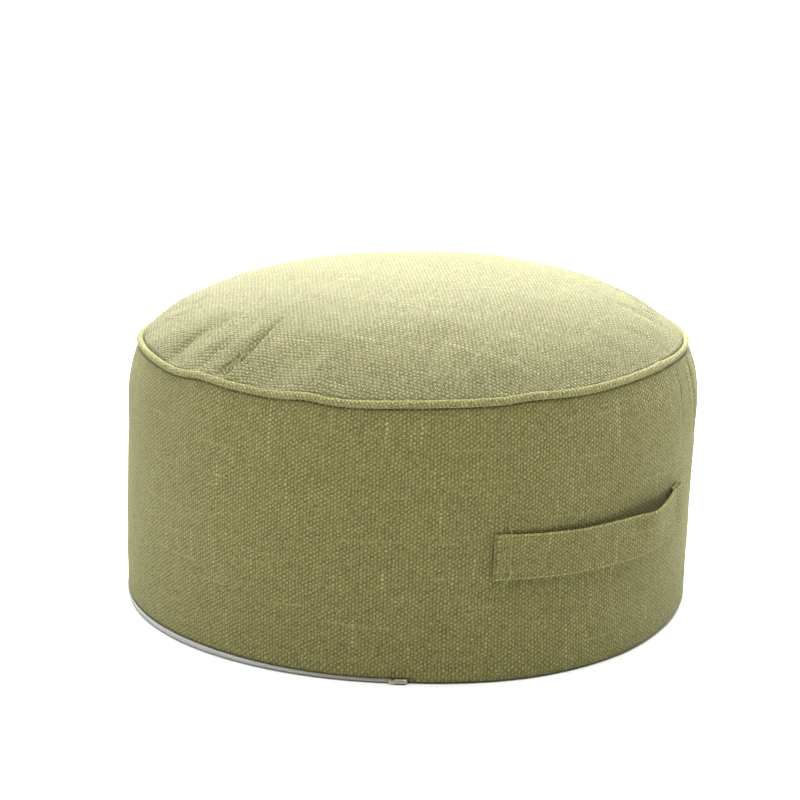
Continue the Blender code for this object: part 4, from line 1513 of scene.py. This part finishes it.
def tape_finish():
    finish = Finish("light grey zip tape")
    u, v = finish.flat_cloth()
    share = v / (TAPE_HIGH - TAPE_LOW)
    twill = ((u + v) / TAPE_TWILL * math.pi).cosine()
    grime = finish.speckle(u * 60, v * 200, 4.0, detail=3.0)
    # the painted shade of the tape's two edges
    edge = 1 - (share.over(0.0, 0.14) * (1 - share.over(0.86, 1.0)))
    # darker towards the slider, over this length
    away_from_darker_end = u.over(0.0, TAPE_DARKER_LENGTH)
    colour = finish.blend(grime, *TAPE_SHADES)
    colour = finish.blend(1 - away_from_darker_end, colour, TAPE_DARKER_NEAR_SLIDER)
    colour = finish.blend(edge * 0.55, colour, TAPE_EDGE_PAINTED_SHADE)
    return finish.surface(colour, 0.8, twill * 0.5 + grime, 0.00012, Sheen_Weight=0.2)


thread_colour = thread_finish()
for piece in (stitches, *thread_pieces):
    piece.data.materials.append(thread_colour)
tape.data.materials.append(tape_finish())
print("thread on", len(thread_pieces) + 1, "pieces")

# %% [markdown]
# ## Nylon and metal
# The coil is nylon, smoother than the tape and of nearly the same grey. The slider is plain nickel, a little
# dull from handling: smudges change its colour and its roughness, and fine scratches its bump.

# %% Nylon and metal
COIL_SHADES = ((0.38, 0.38, 0.36, 1.0), (0.52, 0.52, 0.50, 1.0))
COIL_TONES_TO_THE_METRE = 60
NICKEL_SHADES = ((0.26, 0.23, 0.18, 1.0), (0.44, 0.40, 0.33, 1.0))
SMUDGES_TO_THE_METRE, SCRATCHES_TO_THE_METRE = 160.0, 900.0


def coil_finish():
    finish = Finish("nylon zip coil")
    x, y = finish.parts(finish.place(), 2)
    tone = finish.speckle(x * COIL_TONES_TO_THE_METRE, y * COIL_TONES_TO_THE_METRE, 2.0, detail=2.0)
    return finish.surface(finish.blend(tone, *COIL_SHADES), 0.35 + 0.15 * tone)


def metal_finish():
    finish = Finish("dull nickel")
    place = finish.place()
    scratch = finish.cloud(place, SCRATCHES_TO_THE_METRE, 4.0)
    smudge = finish.cloud(place, SMUDGES_TO_THE_METRE)
    colour = finish.blend(smudge, *NICKEL_SHADES)
    return finish.surface(colour, 0.22 + 0.25 * smudge, scratch, 0.00004, Metallic=1.0)


coil.data.materials.append(coil_finish())
slider.data.materials.append(metal_finish())
print("coil and slider finished")

# %% [markdown]
# ## The floor
# The photo is a bright studio whose floor and back wall run into one white. A large pale floor gives that. A
# faint cloud of tone keeps it from being one flat colour.

# %% Lay the floor
FLOOR_HALF = 14.0
FLOOR_SUNK = 0.0004  # so that the base of the cushion doesn't flicker in it
FLOOR_SHADES = ((0.79, 0.79, 0.78, 1.0), (0.83, 0.83, 0.82, 1.0))


def studio_piece(bm, name, shades, clouds_to_the_metre, roughness):
    """A thing of the studio, with a faint cloud of tone on it."""
    mesh = bpy.data.meshes.new(name)
    bm.to_mesh(mesh)
    bm.free()
    finish = Finish(name.replace("_", " "))
    cloud = finish.cloud(finish.place(), clouds_to_the_metre)
    mesh.materials.append(finish.surface(finish.blend(cloud, *shades), roughness))
    made = bpy.data.objects.new(name, mesh)
    bpy.context.scene.collection.objects.link(made)
    return made


def make_floor():
    bm = bmesh.new()
    bmesh.ops.create_grid(bm, x_segments=1, y_segments=1, size=FLOOR_HALF)
    floor = studio_piece(bm, "pale_floor", FLOOR_SHADES, 3.0, 0.8)
    floor.location.z = -FLOOR_SUNK


make_floor()
print("floor", 2 * FLOOR_HALF, "m wide")

# %% [markdown]
# ## The surroundings
# In the photo the left of the band is lighter than its front, and the right a little. So the surroundings
# give soft light from the left, and less from the right. They are dark in front and behind, which leaves the
# band's front the darkest part.

# %% Light from the sides
FROM_LEFT, FROM_RIGHT = 1.45, 0.40
SIDE_FALL = 1.5  # how fast the light falls off away from the two sides


def make_surroundings():
    """Light from the left, and less from the right."""
    world = bpy.data.worlds.new("studio")
    bpy.context.scene.world = world
    world.use_nodes = True
    nodes, links = world.node_tree.nodes, world.node_tree.links
    parts = nodes.new("ShaderNodeSeparateXYZ")
    links.new(nodes.new("ShaderNodeTexCoord").outputs["Generated"], parts.inputs[0])

    def maths(operation, first, second):
        node = nodes.new("ShaderNodeMath")
        node.operation = operation
        for socket, value in zip(node.inputs, (first, second)):
            if isinstance(value, float):
                socket.default_value = value
            else:
                links.new(value, socket)
        return node.outputs[0]

    sides = []
    for way, strength in ((-1.0, FROM_LEFT), (1.0, FROM_RIGHT)):
        facing = maths("MAXIMUM", maths("MULTIPLY", parts.outputs["X"], way), 0.0)
        sides.append(maths("MULTIPLY", maths("POWER", facing, SIDE_FALL), strength))
    links.new(maths("ADD", *sides), nodes["Background"].inputs["Strength"])
    nodes["Background"].inputs["Color"].default_value = (1.0, 1.0, 1.0, 1.0)


make_surroundings()
print("light from the left", FROM_LEFT, "and from the right", FROM_RIGHT)

# %% [markdown]
# ## The soft boxes
# Strong soft light from above and behind nearly whitens the back of the top in the photo, and weaker light
# from above the front keeps the front of the top and the band from going dull. One large box far behind
# whitens the floor there. Each is an area light, turned to what it lights.

# %% Hang the soft boxes
SoftBox = namedtuple("SoftBox", "name place aim width height power")
SOFT_BOXES = (  # metres and watts
    SoftBox("light_above", (0.0, 0.3, 2.0), (0.0, 0.0, 0.2), 2.0, 2.0, 77.0),
    SoftBox("light_behind", (0.0, 0.85, 0.62), (0.0, 0.05, 0.2), 1.3, 0.7, 49.0),
    SoftBox("light_behind_right", (1.3, 0.9, 0.8), (0.0, 0.0, 0.15), 1.2, 1.2, 16.0),
    SoftBox("light_over_the_floor", (0.0, 5.2, 2.6), (0.0, 5.2, 0.0), 5.0, 6.0, 400.0),
    SoftBox("light_above_front", (0.0, -1.2, 2.2), (0.0, -0.6, 0.0), 2.5, 1.5, 40.0),
)


def make_soft_box(box):
    light = bpy.data.lights.new(box.name, "AREA")
    light.shape = "RECTANGLE"
    light.size, light.size_y = box.width, box.height
    light.energy = box.power
    lamp = bpy.data.objects.new(box.name, light)
    lamp.location = box.place
    lamp.rotation_euler = (Vector(box.aim) - Vector(box.place)).to_track_quat("-Z", "Y").to_euler()
    bpy.context.scene.collection.objects.link(lamp)


for box in SOFT_BOXES:
    make_soft_box(box)
bpy.context.scene.view_settings.view_transform = "Standard"
print(len(SOFT_BOXES), "soft boxes")

# %% [markdown]
# ## The flag
# A photographer keeps light off a place with a flag, a card on a stand. The light behind stands low, and
# would bleach the back of the band. So a grey card that the camera doesn't see stands close behind the
# cushion, half as high again as its band.

# %% Stand the flag
FLAG_WIDTH, FLAG_HEIGHT, FLAG_BEHIND = 0.9, 0.27, 0.41
FLAG_OFF_FLOOR = 0.005
FLAG_SHADES = ((0.48, 0.48, 0.48, 1.0), (0.52, 0.52, 0.52, 1.0))


def make_flag():
    bm = bmesh.new()
    bmesh.ops.create_grid(bm, x_segments=1, y_segments=1, size=0.5)
    bmesh.ops.scale(bm, vec=(FLAG_WIDTH, FLAG_HEIGHT, 1.0), verts=bm.verts[:])
    bmesh.ops.rotate(bm, matrix=Matrix.Rotation(math.radians(90), 3, "X"), verts=bm.verts[:])
    middle = (0.0, FLAG_BEHIND, FLAG_HEIGHT / 2 + FLAG_OFF_FLOOR)
    bmesh.ops.translate(bm, vec=middle, verts=bm.verts[:])
    flag = studio_piece(bm, "studio_flag", FLAG_SHADES, 20.0, 0.9)
    flag.visible_camera = False


make_flag()
print("flag", FLAG_WIDTH, "m wide,", FLAG_BEHIND, "m behind the middle")

# %% [markdown]
# ## The camera
# The photo was taken from a little above, about a metre and a half away, with a long lens. The angle, the
# distance and the small turn of the frame were worked out from the outline of the drum. A small shift of the
# lens puts the drum where the photo has it in its frame.

# %% Place the camera
TILT = 0.2750  # radians, downwards
ROLL = 0.0110
DISTANCE = 7.7601 * BAND_RADIUS
PIXELS_WIDE = 800
FOCAL_PIXELS = 2171.69
FRAME_CENTRE = (408.02, 447.36)  # where the lens axis meets the photo, from its top left corner
SENSOR_WIDTH = 36.0  # millimetres, as lens lengths are
NEAREST_SEEN, FURTHEST_SEEN = 0.05, 60.0


def make_camera():
    data = bpy.data.cameras.new("camera")
    data.sensor_width = SENSOR_WIDTH
    data.lens = data.sensor_width * FOCAL_PIXELS / PIXELS_WIDE
    data.shift_x = 0.5 - FRAME_CENTRE[0] / PIXELS_WIDE
    data.shift_y = 0.5 - (PIXELS_WIDE - FRAME_CENTRE[1]) / PIXELS_WIDE
    data.clip_start, data.clip_end = NEAREST_SEEN, FURTHEST_SEEN
    ahead = Vector((0, math.cos(TILT), -math.sin(TILT)))
    right = Vector((1, 0, 0))
    up = right.cross(ahead)
    rolled_right = right * math.cos(ROLL) + up * math.sin(ROLL)
    rolled_up = up * math.cos(ROLL) - right * math.sin(ROLL)
    place = Matrix((rolled_right, rolled_up, -ahead)).transposed().to_4x4()
    height = BAND_RADIUS / 2 + DISTANCE * math.sin(TILT)
    place.translation = Vector((AXIS_FOOT[0], AXIS_FOOT[1] - DISTANCE * math.cos(TILT), height))
    camera = bpy.data.objects.new("camera", data)
    camera.matrix_world = place
    bpy.context.scene.collection.objects.link(camera)
    bpy.context.scene.camera = camera


make_camera()
print("camera", round(DISTANCE, 3), "m away")
